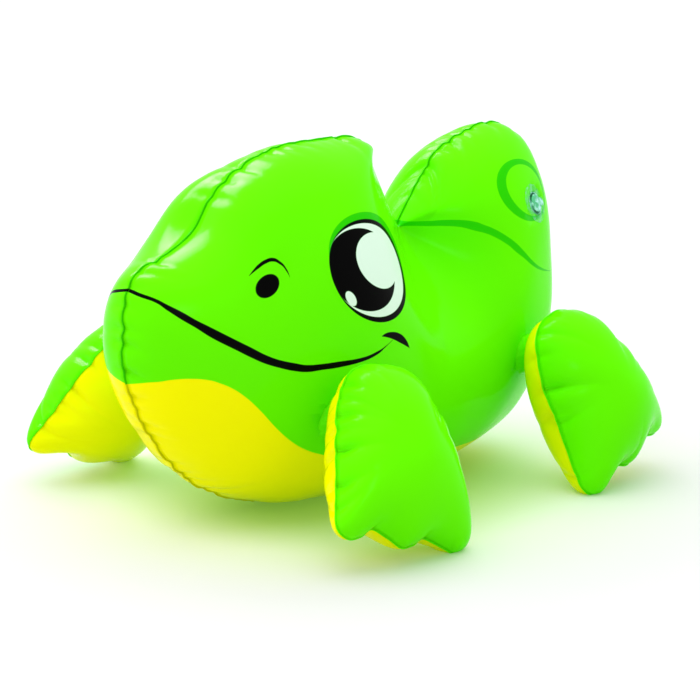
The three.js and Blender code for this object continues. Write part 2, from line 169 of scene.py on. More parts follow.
class Board:
    """The node tree of one material."""

    def __init__(self, name: str) -> None:
        """Makes an empty material.

        Args:
            name: the material's name.
        """
        self.material = bpy.data.materials.new(name)
        self.material.use_nodes = True
        self.tree = self.material.node_tree
        self.tree.nodes.clear()

    def node(
        self, kind: str, settings: dict[str, object] | None = None, inputs: Inputs | None = None
    ) -> Node:
        """Adds a node.

        Args:
            kind: the node's type.
            settings: properties that are set first.
            inputs: what goes into it.

        Returns:
            The node.
        """
        made = self.tree.nodes.new(kind)
        for key, value in (settings or {}).items():
            setattr(made, key, value)
        for key, value in (inputs or {}).items():
            target = made.inputs[key]
            source = value.socket if isinstance(value, Wire) else value
            if isinstance(source, NodeSocket):
                self.tree.links.new(source, target)
            else:
                target.default_value = source
        return made

    def math(self, operation: str, *values: "Wire | float", clamp: bool = False) -> Wire:
        """Adds a Math node.

        Args:
            operation: what it does.
            values: what goes into it.
            clamp: whether the result is kept between 0 and 1.

        Returns:
            The result.
        """
        settings = {"operation": operation, "use_clamp": clamp}
        made = self.node("ShaderNodeMath", settings, dict(enumerate(values)))
        return Wire(self, made.outputs[0])

    def mix(self, share: "Wire | float", under: object, over: object) -> NodeSocket:
        """The first colour with this share of the second one over it."""
        made = self.node("ShaderNodeMix", {"data_type": "RGBA"}, {0: share, 6: under, 7: over})
        return made.outputs[2]

    def curve(self, run: Wire, places: Sequence[float], values: Sequence[float]) -> Wire:
        """A smooth curve of values against a run.

        Args:
            run: what the curve is read at.
            places: where its points lie, rising.
            values: the value at each place.

        Returns:
            The curve's value.
        """
        first, last = places[0], places[-1]
        low, high = min(values), max(values)
        share = self.math("MULTIPLY_ADD", run, 1.0 / (last - first), -first / (last - first), clamp=True)
        made = self.node("ShaderNodeFloatCurve", None, {"Value": share})
        points = made.mapping.curves[0].points
        while len(points) < len(places):
            points.new(0.5, 0.5)
        for point, place, value in zip(points, places, values):
            point.location = (place - first) / (last - first), (value - low) / (high - low)
        made.mapping.update()
        return self.math("MULTIPLY_ADD", Wire(self, made.outputs[0]), high - low, low)

    def place(self) -> NodeSocket:
        """The place on the piece, in metres."""
        return self.node("ShaderNodeTexCoord").outputs["Object"]

    def axes(self, place: NodeSocket) -> tuple[Wire, Wire, Wire]:
        """The place's three measures."""
        split = self.node("ShaderNodeSeparateXYZ", None, {0: place})
        return tuple(Wire(self, output) for output in split.outputs)

    def noise(self, place: NodeSocket, scale: float, detail: float = 2.0) -> Wire:
        """Noise between 0 and 1.

        Args:
            place: where it is read.
            scale: how many features lie in a metre.
            detail: how many finer layers it has.

        Returns:
            The noise.
        """
        inputs = {"Vector": place, "Scale": scale, "Detail": detail}
        made = self.node("ShaderNodeTexNoise", {"noise_dimensions": "3D"}, inputs)
        return Wire(self, made.outputs["Factor" if "Factor" in made.outputs else "Fac"])

    def finish(self, inputs: Inputs) -> Material:
        """Closes the material.

        Args:
            inputs: what goes into its Principled shader.

        Returns:
            The material.
        """
        shader = self.node("ShaderNodeBsdfPrincipled", None, inputs)
        self.node("ShaderNodeOutputMaterial", None, {"Surface": shader.outputs[0]})
        return self.material


@dataclass(frozen=True)
class Spot:
    """A printed ellipse on the side of the body, in mm of length and height."""

    centre: tuple[float, float]
    half: tuple[float, float]
    tilt: float

    def depth(self, run: Wire, level: Wire) -> Wire:
        """How far inside the ellipse a place lies, in mm, below 0 outside.

        Args:
            run: the place along the toy.
            level: the place's height.

        Returns:
            The depth.
        """
        turn = math.radians(self.tilt)
        along, up = run - self.centre[0], level - self.centre[1]
        major = (along * math.cos(turn) + up * math.sin(turn)) / self.half[0]
        minor = (up * math.cos(turn) - along * math.sin(turn)) / self.half[1]
        away = (major * major + minor * minor).root()
        return (1.0 - away) * min(self.half)


@dataclass(frozen=True)
class Stroke:
    """A printed line on the side of the body, in mm: rows of run along the side, top and bottom edge."""

    rows: Rows

    def depth(self, board: Board, run: Wire, level: Wire) -> Wire:
        """How far inside the line a place lies, in mm, below 0 outside.

        Args:
            board: where the nodes go.
            run: the place along the side.
            level: the place's height.

        Returns:
            The depth.
        """
        places, tops, bottoms = zip(*self.rows)
        over = board.curve(run, places, tops) - level
        under = level - board.curve(run, places, bottoms)
        ends = (run - places[0]).least(places[-1] - run)
        return over.least(under).least(ends)


@dataclass(frozen=True)
class FilmFinish:
    """Glossy soft PVC film, with a faint ripple and a weld along its seam. Noise is in features a metre."""

    name: str
    tone: Tone
    roughness: float = 0.115
    specular: float = 0.025
    weld_shade: float = 0.0
    deep: tuple[float, float] = (0.86, 0.95)  # red and green of the darkest clouds, as shares of the tone
    bright: tuple[float, float] = (1.08, 1.03)
    clouds: float = 9.0
    smears: float = 34.0
    smear_roughness: float = 0.09
    ink_roughness: float = 0.05
    weld_roughness: float = 0.1
    weld_fade: float = 0.8  # how fast the weld's shade fades, in 1/mm
    ripples: float = 160.0
    ripple_height: float = 0.6
    grains: float = 900.0
    grain_height: float = 0.05
    bump: tuple[float, float] = (0.12, 0.0006)  # strength, and height in metres

    def tint(self, shares: tuple[float, float]) -> tuple[float, float, float, float]:
        """The tone with these shares of its red and green."""
        red, green, blue = self.tone.value
        return min(red * shares[0], 1.0), min(green * shares[1], 1.0), blue, 1.0

    def colour(self, board: Board, place: NodeSocket) -> tuple[NodeSocket, Wire | float]:
        """The film's colour before the gloss, and where black ink lies."""
        cloud = board.noise(place, self.clouds)
        return board.mix(cloud, self.tint(self.deep), self.tint(self.bright)), 0.0

    def material(self) -> Material:
        """The finished material.

        Returns:
            The material.
        """
        board = Board(self.name)
        place = board.place()
        colour, ink = self.colour(board, place)
        smear = board.noise(place, self.smears, 3.0)
        weld = Wire(board, board.node("ShaderNodeAttribute", {"attribute_name": "seam_mm"}).outputs["Fac"])
        near = board.math("MULTIPLY_ADD", weld, -self.weld_fade, 1.0, clamp=True)
        if self.weld_shade:
            colour = board.mix(near * self.weld_shade, colour, Tone.LEAF_SEAM.rgba)
        ripple = board.noise(place, self.ripples) * self.ripple_height
        grain = ripple + board.noise(place, self.grains, 1.0) * self.grain_height
        strength, distance = self.bump
        inputs = {"Strength": strength, "Distance": distance, "Height": grain}
        bump = board.node("ShaderNodeBump", None, inputs)
        marks = smear * self.smear_roughness + ink * self.ink_roughness + near * self.weld_roughness
        return board.finish(
            {
                "Base Color": colour,
                "Roughness": marks + self.roughness,
                "Specular IOR Level": self.specular,
                "Normal": bump.outputs[0],
            }
        )


@dataclass(frozen=True)
class ClearFinish:
    """Clear soft PVC of the valve, with the film showing through and whitish patches at random places on it
    that are painted highlights.
    """

    name: str
    body: float  # how much of the film behind it is hidden
    cloud: float  # how much more of it the painted highlights hide
    clouds: float = 260.0  # features in a metre
    contrast: tuple[float, float] = (5.0, -2.2)  # slope and offset that turn the clouds into painted highlights
    roughness: tuple[float, float] = (0.12, 0.04)  # in the clouds, and everywhere

    def material(self) -> Material:
        """The finished material.

        Returns:
            The material.
        """
        board = Board(self.name)
        cloud = board.noise(board.place(), self.clouds, 3.0)
        # painted highlights: whitish patches at random places, which also hide more of the film
        painted_highlight = board.math("MULTIPLY_ADD", cloud, *self.contrast, clamp=True)
        return board.finish(
            {
                "Base Color": board.mix(painted_highlight, Tone.CLEAR.rgba, Tone.MILK.rgba),
                "Roughness": cloud * self.roughness[0] + self.roughness[1],
                "Specular IOR Level": 0.5,
                "Alpha": painted_highlight * self.cloud + self.body,
            }
        )


@dataclass(frozen=True)
class FloorFinish:
    """Matt white studio paper, with a painted green glow and a painted green shadow on it about the toy, in
    the colours of the light that comes through the film.
    """

    name: str = "studio paper"
    painted_glow_half: tuple[float, float] = (0.27, 0.25)  # how far the painted glow reaches, in metres
    painted_shadow_half: tuple[float, float] = (0.17, 0.17)  # how far the painted shadow reaches, in metres
    painted_glow_in_shadow: float = 0.65  # share of the painted glow in the middle of the painted shadow
    mottle: tuple[float, float] = (0.02, 0.99)  # of the paper's tone: the mottle's depth, and the least

    @staticmethod
    def near(board: Board, axes: Sequence[Wire], half: tuple[float, float]) -> Wire:
        """A soft mask about the toy.

        Args:
            board: where the nodes go.
            axes: the place's measures.
            half: how far the mask reaches along the first two.

        Returns:
            The mask: 1 in the middle and 0 beyond its reach.
        """
        across, along = (axes[k] / half[k] for k in range(2))
        share = board.math("SUBTRACT", 1.0, across * across + along * along, clamp=True)
        return share * share * (3.0 - 2.0 * share)

    def material(self) -> Material:
        """The finished material.

        Returns:
            The material.
        """
        board = Board(self.name)
        place = board.place()
        axes = board.axes(place)
        # painted shadow: the floor's base colour turns darker and green-grey under the toy
        painted_shadow = self.near(board, axes, self.painted_shadow_half)
        # painted light: emission on the floor about the toy, weaker in the middle of the painted shadow
        glow = self.near(board, axes, self.painted_glow_half) * (1.0 - painted_shadow * (1.0 - self.painted_glow_in_shadow))
        mottle = board.noise(place, 3.0) * self.mottle[0] + self.mottle[1]
        paper = board.mix(mottle, Tone.DARK.rgba, Tone.FLOOR.rgba)
        return board.finish(
            {
                "Base Color": board.mix(painted_shadow, paper, Tone.FILM_SHADE.rgba),
                "Roughness": 0.9,
                "Specular IOR Level": 0.1,
                "Emission Color": board.mix(glow, Tone.DARK.rgba, Tone.FILM_LIGHT.rgba),
                "Emission Strength": 1.0,
            }
        )


def cubic(a: Array, b: Array, leave: Array, meet: Array, t: Array | float) -> Array:
    """A smooth step from a to b, read at share t, with the slopes that it leaves and meets them at."""
    third, second = 2 * a - 2 * b + leave + meet, -3 * a + 3 * b - 2 * leave - meet
    return ((third * t + second) * t + leave) * t + a


def spaced_loop(points: Array, count: int) -> Array:
    """Places on a smooth curve through points, at equal steps, without the last place.

    Args:
        points: the curve's points, the first repeated at the end.
        count: how many places to give.

    Returns:
        The places, one row each.
    """
    slope = (np.vstack([points[1:], points[-1:]]) - np.vstack([points[:1], points[:-1]])) / 2
    share = np.linspace(0, 1, 64, endpoint=False)[:, None]
    runs = [cubic(points[i], points[i + 1], slope[i], slope[i + 1], share) for i in range(len(points) - 1)]
    dense = np.vstack([*runs, points[-1:]])
    length = np.concatenate([[0], np.cumsum(np.linalg.norm(np.diff(dense, axis=0), axis=1))])
    wanted = np.linspace(0, length[-1], count, endpoint=False)
    return np.stack([np.interp(wanted, length, dense[:, k]) for k in range(2)], axis=1)


def finer(rows: Array, factor: int) -> Array:
    """Rows of values round a loop, with smooth values put between them.

    Args:
        rows: one row for each ring.
        factor: how many values take the place of one.

    Returns:
        The finer rows.
    """
    back, ahead, further = (np.roll(rows, shift, axis=1) for shift in (1, -1, -2))
    out = np.empty((rows.shape[0], rows.shape[1] * factor))
    for k in range(factor):
        out[:, k::factor] = cubic(rows, ahead, (ahead - back) / 2, (further - rows) / 2, k / factor)
    return out


def loop_faces(rows: int, count: int) -> Array:
    """Four-sided faces of rows of points that close round a loop and from the last row to the first.

    Args:
        rows: how many rows.
        count: points in a row.

    Returns:
        The faces, row by row.
    """
    row, i = np.meshgrid(np.arange(rows), np.arange(count), indexing="ij")
    below, after = (row + 1) % rows, (i + 1) % count
    corners = [row * count + i, row * count + after, below * count + after, below * count + i]
    return np.stack(corners, axis=-1).reshape(-1, 4)


def polar_faces(rings: int, count: int) -> tuple[Array, Array]:
    """Faces of a polar grid whose first ring is the rim and whose last point is the pole.

    Args:
        rings: how many rings.
        count: points on a ring.

    Returns:
        The four-sided faces and the triangles at the pole.
    """
    last = (rings - 1) * count + np.arange(count)
    fan = np.stack([last, np.roll(last, -1), np.full(count, rings * count)], axis=1)
    return loop_faces(rings, count)[:-count], fan


def triangles(groups: Sequence[Array]) -> Array:
    """The faces of all groups, cut into triangles."""
    return np.vstack([group[:, [0, k, k + 1]] for group in groups for k in range(1, group.shape[1] - 1)])


def film_rise(points: Array, rings: int, count: int) -> Array:
    """Rise of a film that is held at its rim and pressed evenly from behind, by conjugate gradients.

    Args:
        points: the places of a polar grid in the film's plane, the pole last.
        rings: how many rings.
        count: points on a ring.

    Returns:
        The rise at each point.
    """
    corners = triangles(polar_faces(rings, count))
    size = len(points)
    links, load = [], np.zeros(size)
    for k in range(3):
        a, b, c = (corners[:, (k + turn) % 3] for turn in range(3))
        to_a, to_b = points[a] - points[c], points[b] - points[c]
        area = np.abs(to_a[:, 0] * to_b[:, 1] - to_a[:, 1] * to_b[:, 0])
        links.append((a, b, (to_a * to_b).sum(axis=1) / area / 2))
        load += np.bincount(c, area / 6, size)
    a, b, pull = (np.concatenate(part) for part in zip(*links))
    total = np.bincount(a, pull, size) + np.bincount(b, pull, size)
    free = np.arange(size) >= count

    def tension(rise: Array) -> Array:
        """The film's pull at each free point."""
        pulled = np.bincount(a, pull * rise[b], size) + np.bincount(b, pull * rise[a], size)
        return np.where(free, total * rise - pulled, 0.0)

    most_steps, precision = 3000, 1e-14
    rise = np.zeros(size)
    rest = np.where(free, load, 0.0)
    step = rest / total
    power = rest @ step
    goal = power * precision
    for _ in range(most_steps):
        pushed = tension(step)
        length = power / (step @ pushed)
        rise += length * step
        rest -= length * pushed
        ready = np.where(free, rest / total, 0.0)
        power, old = rest @ ready, power
        if power < goal:
            break
        step = ready + step * power / old
    return np.maximum(rise, 0.0)


def rim_normals(edge: Array) -> Array:
    """Outward directions of a counter-clockwise loop.

    Args:
        edge: the loop's points.

    Returns:
        One unit direction for each point.
    """
    along = np.roll(edge, -1, axis=0) - np.roll(edge, 1, axis=0)
    out = np.stack([along[:, 1], -along[:, 0]], axis=1)
    return out / np.linalg.norm(out, axis=1, keepdims=True)


def normals_of(points: Array, groups: Sequence[Array]) -> Array:
    """Smooth normals of a surface.

    Args:
        points: its points.
        groups: arrays of its faces.

    Returns:
        One unit normal for each point.
    """
    corners = triangles(groups)
    a, b, c = (points[corners[:, k]] for k in range(3))
    normal = np.cross(b - a, c - a)
    total = np.zeros_like(points)
    for k, axis in product(range(3), repeat=2):
        total[:, axis] += np.bincount(corners[:, k], normal[:, axis], len(points))
    return total / np.maximum(np.linalg.norm(total, axis=1, keepdims=True), 1e-12)


def above_floor(points: Array) -> Array:
    """The points, with those below the floor raised to it."""
    return np.column_stack([points[:, :2], np.maximum(points[:, 2], 0.0)])


def node_points(node: str) -> Array:
    """The points of a CAD node, in mm."""
    return np.array([vertex.co for vertex in frame["nodes"][node].data.vertices]) / MM


def unit(way: Sequence[float]) -> Array:
    """A direction as a unit vector."""
    return np.array(way) / np.linalg.norm(way)


@dataclass
class Puckers:
    """The creases that a welded seam gathers in the film beside it, in mm."""

    seed: int
    spacing: float
    depth: float
    reach: float
    bend: float  # curvature of the seam, 1/mm, that gives full depth
    tight: float = 0.05  # curvature, 1/mm, that is too tight for a crease
    least: float = 0.15  # share of the depth where the seam runs straight
    width: tuple[float, float] = (1.5, 3.2)
    stray: float = 0.75  # how far the seam strays, as a share of the depth
    pinch: float = 0.30  # how far the seam is drawn in, as a share of the depth
    slant: float = 0.22  # most that a crease leans along the seam, for each mm away from it
    gaps: tuple[float, float] = (0.45, 1.6)  # shortest and longest gap, as shares of the spacing
    spans: int = 90  # stretches of the seam that its curvature is averaged over

    def curl(self, edge: Array, length: float) -> Array:
        """Curvature of a seam.

        Args:
            edge: the seam's loop.
            length: of the loop.

        Returns:
            The curvature at each point, 1/mm.
        """
        span = max(2, len(edge) // self.spans)
        way = np.roll(edge, -span, axis=0) - np.roll(edge, span, axis=0)
        heading = np.unwrap(np.arctan2(way[:, 1], way[:, 0]))
        turn = np.roll(heading, -span) - np.roll(heading, span)
        turn = (turn + math.pi) % (2 * math.pi) - math.pi
        return turn / (2 * span * length / len(edge))

    def lay(self, edge: Array) -> "Gather":
        """Places the creases along a seam.

        Args:
            edge: the seam's loop.

        Returns:
            The creases.
        """
        rng = np.random.default_rng(self.seed)
        step = np.linalg.norm(np.roll(edge, -1, axis=0) - edge, axis=1)
        length = float(step.sum())
        run = np.concatenate([[0], np.cumsum(step)[:-1]])
        places, place = [], rng.uniform(0, self.spacing)
        while place < length - self.spacing * 0.4:
            places.append(place)
            place += self.spacing * rng.uniform(*self.gaps)
        at = np.array(places)
        curve = np.interp(at, run, self.curl(edge, length))
        straight = self.least * (curve > -self.bend * 0.2)
        share = np.clip(curve / self.bend, 0.0, 1.0) * (1 - self.least) + straight
        share *= np.exp(-((curve / self.tight) ** 2))
        shape = (len(at), 2)
        return Gather(
            run=run,
            length=length,
            at=at,
            depth=self.depth * share[:, None] * rng.uniform(0.25, 1.0, shape),
            reach=self.reach * (0.5 + rng.uniform(0.0, 1.0, shape) ** 2),
            slant=rng.uniform(-self.slant, self.slant, shape),
            width=rng.uniform(*self.width, shape),
            stray=self.stray,
            draw=self.pinch,
        )


@dataclass
class Gather:
    """Creases placed along a seam, in mm: one row each, with a column for each of the two panels."""

    run: Array
    length: float
    at: Array
    depth: Array
    reach: Array
    slant: Array
    width: Array
    stray: float
    draw: float
    spread: float = 0.10  # how much wider a crease is with each mm from the seam
    onset: float = 2.2  # distance from the seam over which a crease deepens
    keel: tuple[float, float] = (0.3, 0.55)  # square of the rounding at a crease's bottom, and its root
    stray_width: float = 4.5
    draw_width: float = 3.2

    def gap(self, place: float) -> Array:
        """Distance of each point of the seam from a place, the short way round."""
        return (self.run - place + self.length / 2) % self.length - self.length / 2

    def dent(self, face: int, away: Array, share: Array) -> Array:
        """How deep the film is creased.

        Args:
            face: 0 for the first panel, 1 for the second.
            away: distance of each grid point from the seam, one row for each ring.
            share: how far each ring is from the pole, as a share.

        Returns:
            The depth at each grid point.
        """
        total = np.zeros_like(away)
        square, root = self.keel
        for k, place in enumerate(self.at):
            aside = (self.gap(place)[None, :] - self.slant[k, face] * away) * share[:, None]
            width = self.width[k, face] + self.spread * away
            fold = self.depth[k, face] * np.exp(-(np.sqrt(aside**2 + square) - root) / width)
            fade = np.exp(-((away / self.reach[k, face]) ** 1.5))
            total += fold * (1 - np.exp(-away / self.onset)) * fade
        return total * np.minimum(share / 0.5, 1.0)[:, None] ** 2

    def summed(self, sizes: Array, width: float) -> Array:
        """One soft step of each size and of this width at every crease, added up along the seam."""
        return sum(size * np.exp(-((self.gap(place) / width) ** 2)) for size, place in zip(sizes, self.at))

    def wander(self) -> Array:
        """How far the seam strays to the side, one number for each point of its loop."""
        return self.summed(self.stray * (self.depth[:, 1] - self.depth[:, 0]), self.stray_width)

    def pinch(self) -> Array:
        """How far the seam is drawn in, one number for each point of its loop."""
        return self.summed(self.draw * self.depth.sum(axis=1), self.draw_width)


@dataclass
class Blown:
    """A film panel cut to an outline and blown up, on a polar grid in its own plane, in mm."""

    edge: Array
    pole: Array
    rings: int
    fullness: float
    seam: float = 0.38  # height of the film at the seam
    factor: int = 1  # how many points of the outline share one point of the solved film
    ceiling: Field | None = None  # greatest height at a place
    sharpness: float = 5.0  # how sharply the film turns into the ceiling
    easing: float = 4.0  # width of the rounding next to the pole
    calm: float = 14.0  # distance from the seam over which unevenness sets in
    follow: float = 6.0  # distance from the seam over which the film follows its shifts

    def __post_init__(self) -> None:
        """Solves the film and keeps its grid."""
        self.share = np.cos(np.arange(self.rings) / self.rings * math.pi / 2)
        count = len(self.edge) // self.factor
        root = np.sqrt(film_rise(self.grid(self.edge[:: self.factor]), self.rings, count))
        rows = finer(root[:-1].reshape(self.rings, count), self.factor)
        rise = np.append(np.maximum(rows, 0.0).ravel(), root[-1])
        self.flat = self.grid(self.edge)
        self.height = self.seam + (self.fullness - self.seam) * rise / rise.max()
        if self.ceiling:
            excess = (self.height / self.ceiling(self.flat)) ** self.sharpness
            self.height = self.height / (1 + excess) ** (1 / self.sharpness)
        self.ease()
        self.faces = polar_faces(self.rings, len(self.edge))

    def ease(self) -> None:
        """Rounds off the rings towards the pole, where a corner of the outline would leave a crease."""
        shape = (self.rings, len(self.edge), 3)
        rows = np.column_stack([self.flat, self.height])[:-1].reshape(shape)
        step = np.linalg.norm(np.roll(rows, -1, axis=1) - rows, axis=2).mean(axis=1)
        blur = np.minimum(self.easing * np.sqrt(1 - self.share) / step, 0.04 * shape[1])
        kept = np.exp(-0.5 * np.outer(blur, 2 * math.pi * np.fft.rfftfreq(shape[1])) ** 2)
        rows = np.fft.irfft(np.fft.rfft(rows, axis=1) * kept[:, :, None], shape[1], axis=1)
        self.flat = np.vstack([rows[:, :, :2].reshape(-1, 2), self.pole])
        self.height = np.append(rows[:, :, 2].ravel(), self.height[-1])

    def grid(self, edge: Array) -> Array:
        """The polar grid inside a loop, the pole last."""
        rows = self.pole + self.share[:, None, None] * (edge - self.pole)[None, :, :]
        return np.vstack([rows.reshape(-1, 2), self.pole])

    def surface(self, gather: Gather, face: int, swell: Field) -> "Skin":
        """The panel's creased surface.

        Args:
            gather: the creases along its seam.
            face: 0 for the panel on the side of the normal, 1 for the other one.
            swell: how far the film stands out at a place in its plane, besides the creases.

        Returns:
            The surface.
        """
        count = len(self.edge)
        points = np.column_stack([self.flat, self.height])
        normal = normals_of(points, self.faces)
        rim = rim_normals(self.edge)
        normal[:count] = np.column_stack([rim, np.zeros(count)])
        rows = points[:-1].reshape(self.rings, count, 3)
        step = np.linalg.norm(np.diff(rows, axis=0), axis=2)
        away = np.vstack([np.zeros((1, count)), np.cumsum(step, axis=0)])
        dent = np.append(gather.dent(face, away, self.share).ravel(), 0.0)
        clear = np.append(away.ravel(), away[-1].mean())
        fade = 1 - np.exp(-((clear / self.calm) ** 2))
        points = points + normal * (swell(self.flat) * fade - dent)[:, None]
        near = np.exp(-away / self.follow)
        drawn = -gather.pinch()[None, :] * near
        points[:-1, :2] += (drawn[:, :, None] * rim[None, :, :]).reshape(-1, 2)
        turned = -1 if face else 1
        points[:-1, 2] += turned * (gather.wander()[None, :] * near).ravel()
        points[:, 2] *= turned
        return Skin(points, self.faces, clear, rim, flipped=face == 1)


@dataclass
class Skin:
    """A surface with its faces and each point's distance from the seam, in mm."""

    points: Array
    faces: tuple[Array, Array]
    away: Array
    rim: Array  # outward directions in the plane of the seam
    flipped: bool

    def shell(self, name: str, place: Field, holes: Sequence[Hole]) -> Object:
        """A thin closed shell of film behind this surface, in its place on the toy.

        Args:
            name: the piece's name.
            place: takes points of the panel's own frame to the toy's frame.
            holes: the round holes in it.

        Returns:
            The piece.
        """
        points = above_floor(place(self.points))
        groups = [group[:, ::-1] if self.flipped else group for group in self.faces]
        normal = normals_of(points, groups)
        count = len(self.rim)
        normal[:count] = place(np.column_stack([self.rim, np.zeros(count)])) - place(np.zeros((1, 3)))
        for middle, axis, radius in holes:
            spoke = points - middle
            along = spoke @ axis
            spoke = spoke - along[:, None] * axis
            away = np.linalg.norm(spoke, axis=1)
            inside = (np.abs(along) < 2.0 * radius) & (away < radius)
            cut = [inside[group].any(axis=1) for group in groups]
            lip = np.unique(np.concatenate([group[gone].ravel() for group, gone in zip(groups, cut)]))
            lip = lip[~inside[lip]]
            points[lip] += spoke[lip] * (radius / away[lip] - 1)[:, None]
            groups = [group[~gone] for group, gone in zip(groups, cut)]
        inner = points - normal * FILM
        return build_mesh(name, *closed_shell(points, inner, groups), {"seam_mm": np.tile(self.away, 2)})


def closed_shell(outer: Array, inner: Array, groups: Sequence[Array]) -> tuple[Array, list[Array]]:
    """Two like surfaces joined along every open edge.

    Args:
        outer: points of the outer surface.
        inner: the same points on the inner surface.
        groups: the outer surface's faces.

    Returns:
        All points and all faces.
    """
    size = len(outer)
    pairs = [np.stack([group, np.roll(group, -1, axis=1)], axis=-1) for group in groups]
    edges = np.vstack([pair[:, k] for pair in pairs for k in range(pair.shape[1])])
    key = edges[:, 0] * size + edges[:, 1]
    back = edges[:, 1] * size + edges[:, 0]
    a, b = edges[~np.isin(key, back)].T
    wall = np.stack([b, a, a + size, b + size], axis=1)
    behind = [group[:, ::-1] + size for group in groups]
    return np.vstack([outer, inner]), [*groups, *behind, wall]


def build_mesh(
    name: str, points: Array, groups: Sequence[Array], marks: dict[str, Array] | None = None
) -> Object:
    """A smooth mesh piece from points in mm.

    Args:
        name: the piece's name.
        points: its points.
        groups: arrays of faces.
        marks: numbers for each point, by name.

    Returns:
        The piece, linked to the scene.
    """
    used = np.zeros(len(points), bool)
    for group in groups:
        used[group.ravel()] = True
    number = np.cumsum(used) - 1
    mesh = bpy.data.meshes.new(name)
    faces = [row for group in groups for row in number[group].tolist()]
    mesh.from_pydata((points[used] * MM).tolist(), [], faces)
    for mark, values in (marks or {}).items():
        layer = mesh.attributes.new(mark, "FLOAT", "POINT")
        layer.data.foreach_set("value", values[used].astype(np.float32))
    mesh.validate()
    mesh.shade_smooth()
    piece = bpy.data.objects.new(name, mesh)
    bpy.context.collection.objects.link(piece)
    return piece


@dataclass(frozen=True)
class Weld:
    """The welded strip along a seam, in mm: its section as rows of reach from the seam and level."""

    name: str
    proud: float  # how far the strip stands out
    section: Rows = (
        (-1.6, -0.3), (-1.6, 0.3), (0.0, 0.34), (0.55, 0.3), (0.9, 0.2), (1.0, 0.0), (0.9, -0.2),
        (0.55, -0.3), (0.0, -0.34),
    )
    ripple: float = 0.22
    waves: tuple[float, float] = (2.7, 11.3)

    def build(self, edge: Array, gather: Gather, place: Field) -> Object:
        """Makes the strip, which follows the seam's creases.

        Args:
            edge: the seam's loop.
            gather: its creases.
            place: takes points of the panel's own frame to the toy's frame.

        Returns:
            The piece.
        """
        rim = rim_normals(edge)
        line = edge - rim * gather.pinch()[:, None]
        short, long = self.waves
        ripple = 1 + self.ripple * np.sin(gather.run / short) * np.sin(gather.run / long + 1.0)
        rows = []
        for out, level in self.section:
            reach = out * self.proud * ripple if out > 0 else np.full(len(edge), out)
            rows.append(np.column_stack([line + rim * reach[:, None], gather.wander() + level]))
        points = above_floor(place(np.vstack(rows)))
        return build_mesh(self.name, points, [loop_faces(len(rows), len(edge))[:, ::-1]])


@dataclass(frozen=True)
class Waves:
    """Broad unevenness of a film, in mm."""

    seed: int
    count: int
    lengths: tuple[float, float]  # of the shortest and the longest wave
    rise: float

    def at(self, place: Array) -> Array:
        """The unevenness at places in the film's plane.

        Args:
            place: the places.

        Returns:
            How far the film stands out at each place.
        """
        rng = np.random.default_rng(self.seed)
        angle, length = rng.uniform(0, math.pi, self.count), rng.uniform(*self.lengths, self.count)
        phase = rng.uniform(0, 2 * math.pi, self.count)
        way = np.stack([np.cos(angle), np.sin(angle)]) * 2 * math.pi / length
        return self.rise * np.sin(place @ way + phase).sum(axis=1) / math.sqrt(self.count)


def dress(piece: Object, material: Material, node: str, body: str | None) -> None:
    """Gives a piece its material, hides the node that it stands for and puts it on the body that it rides on.

    Args:
        piece: the piece.
        material: its material.
        node: the node that it replaces.
        body: the body, or nothing for a piece that lies between two.
    """
    piece.data.materials.append(material)
    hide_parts(node)
    if body:
        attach(piece, body)
    LOG.info("%s stands for %s on %s", piece.name, node, body or "two bodies")


class Seat:
    """A frame of its own on the toy, in mm: the third of its axes points out of the toy."""

    origin: Array
    axes: Array

    def place(self, points: Array) -> Array:
        """Takes points of this frame to the toy's frame."""
        return points @ self.axes + self.origin

    def spot(self, *measures: float) -> Array:
        """Takes one point of this frame to the toy's frame."""
        return self.place(np.array([measures]))[0]

    def levels(self, piece: Object, points: Array, way: int) -> Array:
        """Levels where rays along the third axis meet a piece.

        Args:
            piece: what the rays are cast at.
            points: where they start, in this frame.
            way: 1 for rays out of the toy, -1 for rays into it.

        Returns:
            One level for each ray.
        """
        mesh = piece.data
        tree = BVHTree.FromPolygons([v.co for v in mesh.vertices], [p.vertices for p in mesh.polygons])
        axis = self.axes[2]
        hits = [tree.ray_cast(Vector(start), Vector(axis * way))[0] for start in self.place(points) * MM]
        return (np.array(hits) / MM - self.origin) @ axis


def turns(sides: int) -> Array:
    """The angles of the points round a circle."""
    return np.linspace(0, 2 * math.pi, sides, endpoint=False)


def ring_of(radius: float | Array, level: float | Array, sides: int) -> Array:
    """Points round a circle about the third axis, of one radius and level or one for each point."""
    turn = turns(sides)
    return np.column_stack([radius * np.cos(turn), radius * np.sin(turn), np.broadcast_to(level, sides)])


